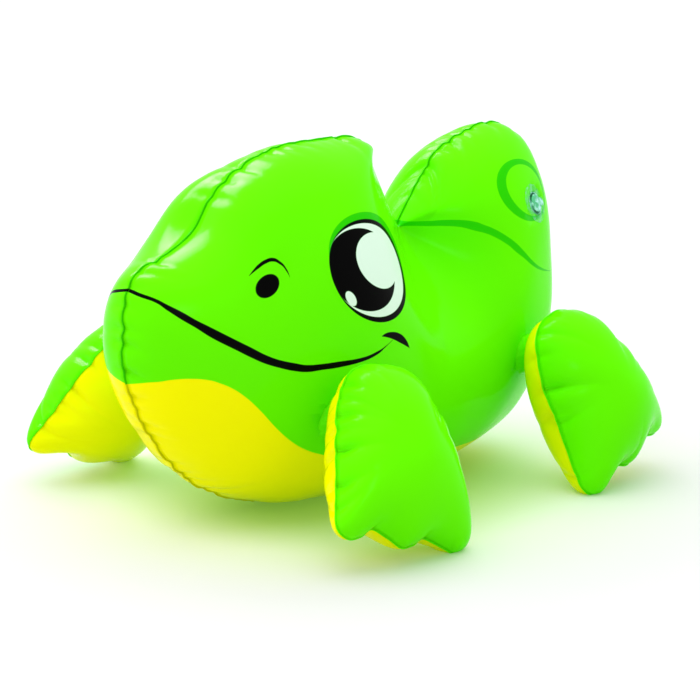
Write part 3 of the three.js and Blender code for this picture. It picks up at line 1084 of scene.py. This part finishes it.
@dataclass(frozen=True)
class FacePrint:
    """What is printed on each side of the body, in mm.

    A spot lies at a place along the toy and a height. A stroke's run is that place plus the distance from
    the middle plane, which keeps rising on the way round the snout.
    """

    lid: Spot = Spot((-42.4, 166.9), (40.1, 30.8), 172.2)
    rim: Spot = Spot((-44.6, 161.9), (39.6, 31.8), 172.2)
    white: Spot = Spot((-46.7, 162.6), (38.0, 28.8), 172.5)
    pupil: Spot = Spot((-53.9, 163.8), (31.5, 25.4), 174.9)
    glint: Spot = Spot((-38.7, 167.5), (22.3, 17.3), 166.7)
    spark: Spot = Spot((-72.7, 148.5), (5.3, 3.5), 124.2)
    nostril: Spot = Spot((-127.0, 161.5), (8.8, 5.4), 37.9)
    ring: Spot = Spot((138.8, 192.1), (29.3, 20.8), 0.2)
    ring_middle: Spot = Spot((141.3, 191.7), (23.8, 17.4), 172.7)
    brow: Stroke = Stroke((
        (-84.2, 168.3, 167.9), (-80.2, 171.6, 170.0), (-75.9, 174.5, 172.0), (-69.7, 176.9, 174.5),
        (-64.5, 177.6, 175.4), (-57.5, 175.2, 173.4), (-51.8, 170.5, 168.9), (-49.1, 165.8, 165.4),
    ))
    mouth: Stroke = Stroke((
        (-196.0, 162.0, 160.3), (-177.8, 159.2, 157.0), (-165.5, 156.9, 154.7), (-153.5, 153.1, 149.7),
        (-141.5, 149.0, 144.4), (-129.7, 144.2, 139.5), (-117.8, 139.8, 133.9), (-94.1, 130.6, 124.5),
        (-82.2, 125.8, 119.6), (-70.2, 120.7, 115.1), (-58.2, 116.7, 111.7), (-46.0, 113.9, 108.8),
        (-33.7, 111.5, 107.0), (-21.4, 110.9, 107.0), (-8.9, 110.7, 106.8), (16.6, 110.7, 108.1),
        (29.6, 112.8, 110.8), (35.5, 114.4, 113.5), (43.4, 117.7, 117.4),
    ))
    corner: Stroke = Stroke((
        (33.4, 121.8, 121.4), (37.4, 123.0, 120.4), (44.2, 122.5, 117.8), (50.2, 120.4, 114.7),
        (55.2, 116.8, 112.0), (60.0, 109.5, 109.3),
    ))
    shell: Stroke = Stroke((
        (52.0, 175.2, 170.4), (63.4, 174.9, 171.5), (86.2, 175.4, 171.9), (101.6, 176.3, 172.2),
        (117.0, 176.4, 171.6), (132.6, 174.9, 168.9), (140.5, 172.8, 167.5), (148.5, 170.6, 165.3),
        (164.5, 163.9, 158.6), (172.7, 159.4, 153.5), (181.0, 153.3, 148.7), (189.8, 146.2, 142.9),
        (199.2, 139.9, 137.9), (214.0, 133.0, 132.7),
    ))
    belly: Rows = (  # run and top edge
        (-198.0, 100.5), (-172.0, 104.6), (-161.4, 105.9), (-150.9, 107.5), (-135.5, 108.3), (-120.0, 107.3),
        (-109.9, 104.9), (-99.7, 101.3), (-89.5, 95.8), (-79.3, 88.3), (-58.6, 69.2), (-48.0, 60.8),
        (-37.4, 54.4), (-26.6, 49.7), (0.0, 42.0), (40.0, 33.0), (80.0, 26.0), (121.6, 21.1), (170.0, 18.0),
        (240.0, 16.0),
    )
    notch: float = 55.0  # where the line on the shell starts, along the toy
    edge: float = 0.35  # how far an ink edge is blurred


@dataclass(frozen=True)
class PrintedFilm(FilmFinish):
    """The body's film with the belly, the face and the line on the shell printed on it."""

    ring: bool = False
    face: FacePrint = FacePrint()
    belly_tone: Tone = Tone.BELLY

    def colour(self, board: Board, place: NodeSocket) -> tuple[NodeSocket, Wire | float]:
        """The film's colour with its prints.

        Args:
            board: where the nodes go.
            place: the place on the film, in metres.

        Returns:
            The colour, and where black ink lies.
        """
        film, _ = super().colour(board, place)
        out, run, level = (axis * (1 / MM) for axis in board.axes(place))
        along = run + abs(out)
        face = self.face

        def spot(shape: Spot) -> Wire:
            """The mask of a spot."""
            return shape.depth(run, level).inked(face.edge)

        belly = (board.curve(along, *zip(*face.belly)) - level).inked(face.edge)
        film = board.mix(belly, film, self.belly_tone.rgba)
        line = face.shell.depth(board, along, level).least(run - face.notch).inked(face.edge)
        film = board.mix(line.most(spot(face.lid)), film, Tone.SHADE_INK.rgba)
        if self.ring:
            band = face.ring.depth(run, level).least(0.0 - face.ring_middle.depth(run, level))
            film = board.mix(band.inked(face.edge), film, Tone.SHADE_INK.rgba)
        pupil = spot(face.pupil) * (1.0 - spot(face.glint).most(spot(face.spark)))
        white = spot(face.white) * (1.0 - pupil)
        black = (spot(face.rim) * (1.0 - white)).most(spot(face.nostril))
        for stroke in (face.mouth, face.corner, face.brow):
            black = black.most(stroke.depth(board, along, level).inked(face.edge))
        film = board.mix(white, film, Tone.EYE_WHITE.rgba)
        return board.mix(black, film, Tone.BLACK_INK.rgba), black


@dataclass
class ToyBody:
    """The two body panels and the seam between them, in mm from the snout and up from the belly."""

    length: float = 390.0
    thickness: float = 174.0
    crown: float = 241.0
    shell: float = 238.0
    head: float = 221.0
    belly_patch: float = 3.0  # height of the belly that the floor presses flat
    notch: tuple[float, float] = (250.0, 174.0)
    notch_fullness: float = 3.0  # height that the film keeps along the back edge of the head
    notch_slope: float = 1.05  # its rise for each mm away from that edge
    notch_lean: float = 1.4  # how many times steeper it rises behind the notch
    pole_shares: tuple[float, float] = (0.82, 0.45)  # middle of the panel's grid, as shares of the notch
    brow: tuple[float, float] = (74.0, 197.0)
    brow_half: tuple[float, float] = (26.0, 14.0)  # half length and half width of the full film there
    brow_tilt: tuple[float, float] = (-0.63, -0.78)  # which way its length runs
    brow_rise: float = 6.0
    wave_seeds: tuple[int, int] = (40, 41)
    fold_seeds: tuple[int, int] = (50, 51)
    fold_turns: range = range(-165, -10, 26)  # degrees at which folds leave the notch
    fold_sway: float = 6.0  # most degrees that a fold turns off its place
    fold_depth: float = 1.5
    fold_shares: tuple[float, float] = (0.7, 1.3)  # shallowest and deepest fold, as shares of the depth
    fold_width: tuple[float, float] = (4.0, 0.16)  # at the notch, and more for each mm away from it
    fold_reach: tuple[float, float] = (16.0, 22.0)  # over which a fold deepens, and fades
    points: int = 640
    rings: int = 32
    head_shares: Rows = (
        (1.062, 0.78), (1.012, 0.855), (1.003, 0.93), (0.98, 0.975), (0.91, 0.996), (0.8, 0.998), (0.6, 0.99),
        (0.43, 0.938), (0.34, 0.875), (0.275, 0.8), (0.18, 0.753), (0.075, 0.722), (0.018, 0.66), (0.0, 0.52),
        (0.03, 0.395), (0.1, 0.275), (0.24, 0.135), (0.44, 0.045),
    )
    corner: int = 2  # which of these is the back corner of the head
    belly_shares: Rows = ((0.37, 0.008), (0.53, 0.0), (0.71, 0.015), (0.88, 0.1), (0.975, 0.3))
    shell_shares: Rows = (
        (1.0, 0.63), (0.965, 0.85), (0.87, 0.965), (0.7, 1.0), (0.48, 0.978), (0.29, 0.93), (0.16, 0.85),
    )
    puckers: Puckers = field(
        default_factory=lambda: Puckers(seed=11, spacing=13.0, depth=3.8, reach=20.0, bend=0.008)
    )

    def __post_init__(self) -> None:
        """Cuts the outline, sets it on the CAD panel and blows it up."""
        rear = self.length - self.notch[0]
        outline = [
            self.notch,
            *((p * self.head, q * self.crown) for p, q in self.head_shares),
            *((p * self.length, q * self.crown) for p, q in self.belly_shares),
            *((self.notch[0] + p * rear, q * self.shell) for p, q in self.shell_shares),
            self.notch,
        ]
        self.edge = spaced_loop(np.array(outline), self.points)
        self.snout_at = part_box("body_left_panel")[0].y / MM - self.edge[:, 0].min()
        self.belly_at = -self.belly_patch - self.edge[:, 1].min()
        pole = np.array(self.notch) * self.pole_shares
        self.blown = Blown(self.edge, pole, self.rings, self.thickness / 2, ceiling=self.held_down)
        self.gather = self.puckers.lay(self.edge)
        self.pieces: dict[str, Object] = {}

    def held_down(self, place: Array) -> Array:
        """The greatest height of the film, which the seam holds down along the back edge of the head.

        Args:
            place: places in the panel's plane.

        Returns:
            The height at each place.
        """
        p, q = self.head_shares[self.corner]
        corner, root = np.array([p * self.head, q * self.crown]), np.array(self.notch)
        place = place + np.outer(np.maximum(place[:, 0] - root[0], 0), (self.notch_lean - 1, 0))
        way = root - corner
        share = np.clip((place - corner) @ way / (way @ way), 0, 1)[:, None]
        away = np.linalg.norm(place - corner - share * way, axis=1)
        return self.notch_fullness + self.notch_slope * away

    def place(self, points: Array) -> Array:
        """Takes points of the panel's frame to the toy's frame."""
        return np.column_stack([points[:, 2], points[:, 0] + self.snout_at, points[:, 1] + self.belly_at])

    def swell(self, face: int, place: Array) -> Array:
        """Unevenness of a panel: broad waves, folds that fan out from the notch, and full film at the brow.

        Args:
            face: 0 for the left panel, 1 for the right one.
            place: places in the panel's plane.

        Returns:
            How far the film stands out at each place.
        """
        total = Waves(self.wave_seeds[face], count=9, lengths=(45.0, 150.0), rise=0.55).at(place)
        rng = np.random.default_rng(self.fold_seeds[face])
        spoke = place - np.array(self.notch)
        reach = np.linalg.norm(spoke, axis=1)
        heading = np.arctan2(spoke[:, 1], spoke[:, 0])
        narrow, spread = self.fold_width
        rise, fade = self.fold_reach
        for turn in self.fold_turns:
            way = math.radians(turn + rng.uniform(-self.fold_sway, self.fold_sway))
            depth = self.fold_depth * rng.uniform(*self.fold_shares)
            aside = (heading - way) * reach / (narrow + reach * spread)
            total -= depth * np.exp(-(aside**2)) * (reach / rise) * np.exp(-reach / fade)
        x, y = self.brow_tilt
        away = (place - np.array(self.brow)) @ np.array([(x, y), (-y, x)]).T / self.brow_half
        return total + self.brow_rise * np.exp(-0.5 * (away**2).sum(axis=1))

    def build(self, holes: dict[Side, list[Hole]]) -> None:
        """Makes the panels and the seam.

        Args:
            holes: the round holes of each panel.
        """
        for face, side in enumerate(Side):
            skin = self.blown.surface(self.gather, face, partial(self.swell, face))
            self.pieces[side.name] = skin.shell(f"body_{side.name.lower()}_film", self.place, holes[side])
        self.pieces["seam"] = Weld("body_weld", 1.0).build(self.edge, self.gather, self.place)

    def finish(self) -> None:
        """Gives the pieces their materials and puts them on the body."""
        for side in Side:
            name = side.name.lower()
            film = PrintedFilm(f"printed film {name}", Tone.LEAF, weld_shade=0.3, ring=side is Side.LEFT)
            dress(self.pieces[side.name], film.material(), f"body_{name}_panel", "body")
        weld = PrintedFilm("printed weld", Tone.LEAF_SEAM, belly_tone=Tone.YELLOW_SEAM).material()
        dress(self.pieces["seam"], weld, "body_seam", "body")


@dataclass
class Flipper(Seat):
    """One webbed flipper, in mm of its own frame: along it from the root, across it, and out of its face."""

    end: End
    side: Side
    seed: int
    length: float = 118.0
    thickness: float = 74.0
    pole_share: float = 0.55  # middle of the panel's grid, as a share of the length
    edge_points: Rows = (
        (-1.0, 0.0), (1.0, 13.0), (7.0, 23.5), (17.0, 31.5), (30.0, 37.5), (48.0, 42.5), (66.0, 45.5),
        (82.0, 48.5), (94.0, 51.5), (103.0, 53.0),
    )
    toe_points: Rows = (
        (108.8, -51.0), (112.3, -44.5), (110.2, -35.0), (105.4, -25.5), (110.5, -13.5), (116.3, -3.5),
        (114.0, 6.5), (109.8, 15.5), (113.5, 27.0), (118.4, 38.0), (116.0, 47.0), (110.0, 51.8),
    )
    points: int = 240
    rings: int = 18
    port: float = 20.0  # root to the middle of the air port
    port_radius: float = 8.0
    body_port: float = -50.0  # level of the air port in the body
    neck_end: float = 14.2  # radius of the neck where it meets the panels
    neck_waist: float = 3.0  # how much narrower it is between them
    neck_wall: float = 0.6
    neck_lap: float = 0.5  # how far it reaches into the panels
    neck_rays: tuple[float, float] = (-70.0, 0.0)  # levels to look for the flipper's and the body's film from
    neck_sides: int = 56
    neck_rows: int = 13

    def __post_init__(self) -> None:
        """Sets the flipper on its CAD hinge and seam, cuts the outline and blows the panels up."""
        self.name = f"{self.end.name.lower()}_{self.side.name.lower()}_flipper"
        lean, swing = (math.radians(angle) for angle in self.end.value)
        out = np.array([self.side.value * math.cos(lean), 0.0, math.sin(lean)])
        down = np.array([self.side.value * math.sin(lean), 0.0, -math.cos(lean)])
        along = down * math.cos(swing) + np.array([0.0, math.sin(swing), 0.0])
        self.axes = np.array([along, np.cross(out, along), out])
        hinge = np.array(JOINTS[f"{self.name}_flap"]["pos_m"]) / MM
        levels = (node_points(f"{self.name}_seam") - hinge) @ out
        self.origin = hinge - along * self.port + out * (levels.min() + levels.max()) / 2
        self.edge = self.outline()
        pole = np.array([self.pole_share * self.length, 0.0])
        self.blown = Blown(self.edge, pole, self.rings, self.thickness / 2, factor=2, easing=8.0)
        self.gather = Puckers(
            self.seed, spacing=14.0, depth=8.5, reach=22.0, bend=0.03, tight=0.03, least=0.75,
            width=(1.4, 2.6), stray=0.4, pinch=0.1,
        ).lay(self.edge)
        self.pieces: dict[str, Object] = {}

    def outline(self) -> Array:
        """The loop of the seam, counter-clockwise, with the shorter toe towards the toy's near end.

        Returns:
            The loop's points.
        """
        edge = np.array(self.edge_points)
        loop = np.vstack([edge[::-1], (edge * (1, -1))[1:], self.toe_points, edge[-1:]])
        start = len(edge) // 2
        loop = np.vstack([loop[start:-1], loop[: start + 1]])
        if (self.end is End.FRONT) != (self.side is Side.LEFT):
            loop = (loop * (1, -1))[::-1]
        return spaced_loop(loop, self.points)

    def hole(self, level: float) -> Hole:
        """The air port at a level along the neck."""
        return self.spot(self.port, 0.0, level), self.axes[2], self.port_radius

    def build(self) -> None:
        """Makes the panels and the seam."""
        at_port = np.argmin(np.linalg.norm(self.blown.flat - (self.port, 0.0), axis=1))
        holes = {"outer": [], "inner": [self.hole(-self.blown.height[at_port])]}
        for face, panel in enumerate(holes):
            waves = Waves(self.seed * 7 + face, count=7, lengths=(30.0, 90.0), rise=0.4)
            skin = self.blown.surface(self.gather, face, waves.at)
            self.pieces[panel] = skin.shell(f"{self.name}_{panel}_film", self.place, holes[panel])
        self.pieces["seam"] = Weld(f"{self.name}_weld", 0.7).build(self.edge, self.gather, self.place)

    def build_neck(self, body_panel: Object) -> None:
        """Makes the neck between the flipper and the body.

        Args:
            body_panel: the body's panel on this side.
        """
        middle = np.array([self.port, 0.0, 0.0])
        ends = [
            self.levels(piece, ring_of(self.neck_end, start, self.neck_sides) + middle, way)
            for piece, start, way in zip((self.pieces["inner"], body_panel), self.neck_rays, (1, -1))
        ]
        turn = turns(self.neck_sides)
        outer, inner = [], []
        for share in np.linspace(0, 1, self.neck_rows):
            pinch = 1 - (2 * share - 1) ** 4
            lobes = 0.35 * np.cos(11 * turn + 0.8) * (1 - pinch * 0.6) + 0.2 * np.cos(17 * turn)
            radius = self.neck_end - self.neck_waist * pinch + lobes
            level = (ends[0] + self.neck_lap) * (1 - share) + (ends[1] - self.neck_lap) * share
            outer.append(ring_of(radius, level, self.neck_sides))
            inner.append(ring_of(radius - self.neck_wall, level, self.neck_sides))
        points = self.place(np.vstack([*outer, *inner[::-1]]) + middle)
        faces = loop_faces(2 * self.neck_rows, self.neck_sides)[:, ::-1]
        self.pieces["neck"] = build_mesh(f"{self.name}_neck_film", points, [faces])
        self.neck_ends = [tuple(self.spot(self.port, 0.0, level.mean()) * MM) for level in ends[::-1]]

    def finish(self, green: Material, yellow: Material, weld: Material) -> None:
        """Gives the pieces their materials and puts them on the flipper, the neck between it and the body.

        Args:
            green: the film of the outer panel and the neck.
            yellow: the inner panel's film.
            weld: the seam's film.
        """
        dress(self.pieces["outer"], green, f"{self.name}_outer_panel", self.name)
        dress(self.pieces["inner"], yellow, f"{self.name}_inner_panel", self.name)
        dress(self.pieces["seam"], weld, f"{self.name}_seam", self.name)
        dress(self.pieces["neck"], green, f"{self.name}_neck", None)
        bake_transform(self.pieces["neck"])


@dataclass
class Valve(Seat):
    """The inflation valve, pushed into its cup, in mm of its own frame: rows of radius and level."""

    sides: int = 64
    hole_radius: float = 8.6
    film_from: float = 9.4  # radius beyond which the flange follows the film
    ray_level: float = 30.0  # level to look for the film from
    flange: Rows = (
        (8.4, 0.1), (8.4, 0.75), (8.8, 0.95), (9.6, 0.8), (10.4, 1.0), (11.2, 0.75), (12.2, 0.95),
        (13.2, 0.7), (13.8, 0.55), (14.0, 0.3), (13.8, 0.1), (11.0, 0.1),
    )
    cup: Rows = (
        (8.0, -13.0), (8.0, -0.5), (8.25, 0.2), (8.1, 0.6), (7.7, 0.6), (7.4, 0.1), (7.4, -11.6),
        (7.0, -12.4), (4.9, -12.4), (4.9, -13.0),
    )
    stem: Rows = (
        (4.6, -13.0), (4.6, -5.0), (4.75, -4.6), (4.6, -4.2), (4.6, 0.1), (4.4, 0.5), (3.9, 0.6), (3.4, 0.5),
        (3.2, 0.1), (3.2, -13.0),
    )
    flap: Rows = ((0.0, -13.8), (4.2, -13.8), (4.6, -13.6), (4.55, -13.4), (4.2, -13.3), (0.0, -13.3))
    plug: Rows = (  # a third number is the share of the pull tab that a row takes
        (0.0, -6.4, 0.0), (2.5, -6.4, 0.0), (2.85, -6.0, 0.0), (2.9, 0.7, 0.0), (3.3, 0.9, 0.0),
        (5.9, 0.9, 0.85), (6.3, 1.1, 0.97), (6.4, 1.5, 1.0), (6.2, 1.85, 0.97), (5.6, 2.05, 0.85),
        (4.6, 2.15, 0.4), (4.1, 2.05, 0.1), (3.4, 2.2, 0.0), (1.8, 2.28, 0.0), (0.0, 2.3, 0.0),
    )
    tab: tuple[float, float] = (3.9, 0.36)  # reach of the pull tab, and half of its turn in radians
    strap_hooks: Rows = ((-4.95, -3.0), (-6.7, -3.0), (-7.05, 2.2))  # stem's side, bend and plug's edge
    strap_section: Rows = (
        (-0.3, -1.3), (-0.3, 1.3), (-0.1, 1.5), (0.1, 1.5), (0.3, 1.3), (0.3, -1.3), (0.1, -1.5),
        (-0.1, -1.5),
    )

    def __post_init__(self) -> None:
        """Takes the valve's frame from the stem's joint and the CAD flap, which lies across the axis."""
        out = unit(JOINTS["valve_stem_pop"]["axis"])
        across = unit(np.cross((0.0, 0.0, 1.0), out))
        self.axes = np.array([across, np.cross(out, across), out])
        middle = sum(np.array(corner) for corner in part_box("valve_check_flap")) / 2 / MM
        self.origin = middle - out * (self.flap[0][1] + self.flap[-1][1]) / 2
        self.pieces: dict[str, Object] = {}

    def hole(self) -> Hole:
        """The hole that the cup sits in."""
        return self.origin, self.axes[2], self.hole_radius

    def turned(
        self, name: str, profile: Rows, lift: Array | None = None, reach: Array | None = None
    ) -> Object:
        """A turned piece: a ring, or a solid where its profile starts and ends on the axis.

        Args:
            name: the piece's name.
            profile: radius and level of each row.
            lift: what to add to each row's level, round the piece.
            reach: what to add to each row's radius, round the piece.

        Returns:
            The piece.
        """
        still = np.zeros(len(profile))
        added = zip(profile, still if reach is None else reach, still if lift is None else lift)
        rows = [ring_of(row[0] + wide, row[1] + high, self.sides) for row, wide, high in added]
        if profile[0][0] > 0:
            return build_mesh(name, self.place(np.vstack(rows)), [loop_faces(len(rows), self.sides)])
        rows = rows[1:-1]
        count = len(rows) * self.sides
        poles = [(0.0, 0.0, profile[0][1]), (0.0, 0.0, profile[-1][1])]
        first = np.arange(self.sides)
        last = count - self.sides + first
        low = np.stack([np.roll(first, -1), first, np.full(self.sides, count)], axis=1)
        high = np.stack([last, np.roll(last, -1), np.full(self.sides, count + 1)], axis=1)
        faces = loop_faces(len(rows), self.sides)[: -self.sides]
        return build_mesh(name, self.place(np.vstack([*rows, poles])), [faces, low, high])

    def build(self, panel: Object) -> None:
        """Makes the valve's pieces.

        Args:
            panel: the body's left panel, which the flange follows.
        """
        rings = [ring_of(max(row[0], self.film_from), self.ray_level, self.sides) for row in self.flange]
        film = self.levels(panel, np.vstack(rings), -1).reshape(-1, self.sides)
        turn = turns(self.sides)
        reach, half = self.tab
        tongue = reach * np.exp(-((np.minimum(turn, 2 * math.pi - turn) / half) ** 4))
        tab = np.array([row[2] * tongue for row in self.plug])
        self.pieces["flange"] = self.turned("valve_flange_ring", self.flange[::-1], lift=film[::-1])
        self.pieces["cup"] = self.turned("valve_cup_wall", self.cup)
        self.pieces["stem"] = self.turned("valve_stem_tube", self.stem)
        self.pieces["plug"] = self.turned("valve_plug_cap", self.plug, reach=tab)
        self.pieces["strap"] = self.strap()
        self.pieces["check_flap"] = self.turned("valve_flap_disc", self.flap)

    def strap(self) -> Object:
        """The strap that keeps the plug: a thin band from the stem's side to the head's edge.

        Returns:
            The piece.
        """
        t = np.linspace(0, 1, 15)[:, None]
        start, bend, end = np.array(self.strap_hooks)
        route = start * (1 - t) ** 2 + 2 * bend * t * (1 - t) + end * t**2
        way = np.gradient(route, axis=0)
        side = np.stack([-way[:, 1], way[:, 0]], axis=1) / np.linalg.norm(way, axis=1, keepdims=True)
        points = [
            (x + out * thick, wide, z + up * thick)
            for (x, z), (out, up) in zip(route.tolist(), side.tolist())
            for thick, wide in self.strap_section
        ]
        count = len(self.strap_section)
        first = np.arange(count)
        faces = loop_faces(len(t), count)[:-count]
        caps = np.array([first[::-1], first + len(points) - count])
        return build_mesh("valve_strap_band", self.place(np.array(points)), [faces, caps])

    def finish(self) -> None:
        """Gives the pieces their material and puts them on their bodies."""
        clear = ClearFinish("clear soft plastic", 0.66, 0.25).material()
        sheet = ClearFinish("clear flange sheet", 0.06, 0.16).material()
        homes = {"flange": "body", **{key: f"valve_{key}" for key in ("stem", "plug", "check_flap")}}
        for key, piece in self.pieces.items():
            dress(piece, sheet if key == "flange" else clear, f"valve_{key}", homes.get(key))
        bends = {"cup": ("body", "valve_stem", 0.0, -12.0), "strap": ("valve_stem", "valve_plug", -2.5, 2.0)}
        for key, (first, second, low, high) in bends.items():
            start, end = (tuple(self.spot(0.0, 0.0, level) * MM) for level in (low, high))
            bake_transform(self.pieces[key])


def direction(azimuth: float, elevation: float) -> Vector:
    """The way to a place, in degrees from the toy's front towards its left side and above the floor."""
    turn, rise = math.radians(azimuth), math.radians(elevation)
    return Vector((math.sin(turn) * math.cos(rise), -math.cos(turn) * math.cos(rise), math.sin(rise)))


@dataclass(frozen=True)
class SoftBox:
    """A soft box that the film mirrors: where it hangs, its size in metres, and its glow with white as 1."""

    name: str
    azimuth: float
    elevation: float
    size: tuple[float, float]
    glow: float
    distance: float = 2.2

    def build(self) -> None:
        """Hangs the box."""
        way = direction(self.azimuth, self.elevation)
        data = bpy.data.lights.new(self.name, "AREA")
        data.shape, data.size, data.size_y = "RECTANGLE", self.size[0], self.size[1]
        data.energy = self.glow * math.pi * self.size[0] * self.size[1]
        lamp = bpy.data.objects.new(self.name, data)
        lamp.location = way * self.distance
        lamp.rotation_euler = way.to_track_quat("Z", "Y").to_euler()
        lamp.visible_diffuse = False
        lamp.visible_camera = False
        bpy.context.collection.objects.link(lamp)


@dataclass
class Studio:
    """White floor, soft lights and the camera, in metres."""

    azimuth: float = 43.12
    elevation: float = 12.35
    distance: float = 1.5
    target: tuple[float, float, float] = (-0.02568, 0.03671, 0.08271)
    lens: float = 110.204
    sensor: float = 36.0
    floor_half: float = 20.0
    room: float = 0.82
    sky: float = 1.1
    sky_width: float = 110.0
    sky_from: tuple[float, float, float] = (-0.55, 0.12, 1.0)
    boxes: tuple[SoftBox, ...] = (
        SoftBox("left box", -100.0, 51.0, (1.35, 0.96), 19.0),
        SoftBox("left box middle", -98.0, 51.0, (0.8, 0.5), 10.0),
        SoftBox("front box", 48.0, 34.0, (0.45, 0.35), 6.0),
    )

    def camera(self) -> None:
        """Puts the camera where the photograph was taken from."""
        back = direction(self.azimuth, self.elevation)
        turn = math.radians(self.azimuth)
        right = Vector((math.cos(turn), math.sin(turn), 0.0))
        data = bpy.data.cameras.new("camera")
        data.lens, data.sensor_width = self.lens, self.sensor
        data.clip_start, data.clip_end = 0.05, 50.0
        eye = bpy.data.objects.new("camera", data)
        turned = Matrix((right, back.cross(right), back)).transposed().to_4x4()
        eye.matrix_world = Matrix.Translation(Vector(self.target) + back * self.distance) @ turned
        bpy.context.collection.objects.link(eye)
        bpy.context.scene.camera = eye

    def floor(self) -> None:
        """Lays the white floor."""
        mesh = bpy.data.meshes.new("studio_floor")
        half = self.floor_half
        corners = [(-half, -half, 0), (half, -half, 0), (half, half, 0), (-half, half, 0)]
        mesh.from_pydata(corners, [], [(0, 1, 2, 3)])
        paper = bpy.data.objects.new("studio_floor", mesh)
        paper.data.materials.append(FloorFinish().material())
        bpy.context.collection.objects.link(paper)

    def light(self) -> None:
        """Lights the white room from above and hangs the soft boxes."""
        world = bpy.data.worlds.new("white room")
        world.use_nodes = True
        background = world.node_tree.nodes["Background"]
        background.inputs["Color"].default_value = (1, 1, 1, 1)
        background.inputs["Strength"].default_value = self.room
        scene = bpy.context.scene
        scene.world = world
        data = bpy.data.lights.new("sky light", "SUN")
        data.energy, data.angle = self.sky * math.pi, math.radians(self.sky_width)
        sky = bpy.data.objects.new("sky light", data)
        sky.rotation_euler = Vector(self.sky_from).to_track_quat("Z", "Y").to_euler()
        sky.visible_glossy = False
        bpy.context.collection.objects.link(sky)
        for box in self.boxes:
            box.build()
        scene.view_settings.view_transform = "Standard"
        scene.view_settings.look = "None"


FLIPPERS = (
    Flipper(End.FRONT, Side.LEFT, seed=692),
    Flipper(End.FRONT, Side.RIGHT, seed=22),
    Flipper(End.REAR, Side.LEFT, seed=248),
    Flipper(End.REAR, Side.RIGHT, seed=24),
)


def main() -> None:
    """Builds the toy and its studio."""
    logging.basicConfig(level=logging.INFO, format="%(name)s: %(message)s")
    studio = Studio()
    studio.camera()
    body, valve = ToyBody(), Valve()
    holes = {side: [f.hole(f.body_port) for f in FLIPPERS if f.side is side] for side in Side}
    holes[Side.LEFT].append(valve.hole())
    body.build(holes)
    green = FilmFinish("leaf film", Tone.LEAF).material()
    yellow = FilmFinish("yellow film", Tone.YELLOW).material()
    weld = FilmFinish("leaf weld", Tone.LEAF_WELD).material()
    for flipper in FLIPPERS:
        flipper.build()
        flipper.build_neck(body.pieces[flipper.side.name])
        flipper.finish(green, yellow, weld)
    valve.build(body.pieces[Side.LEFT.name])
    valve.finish()
    body.finish()
    studio.floor()
    studio.light()


if __name__ == "__main__":
    main()
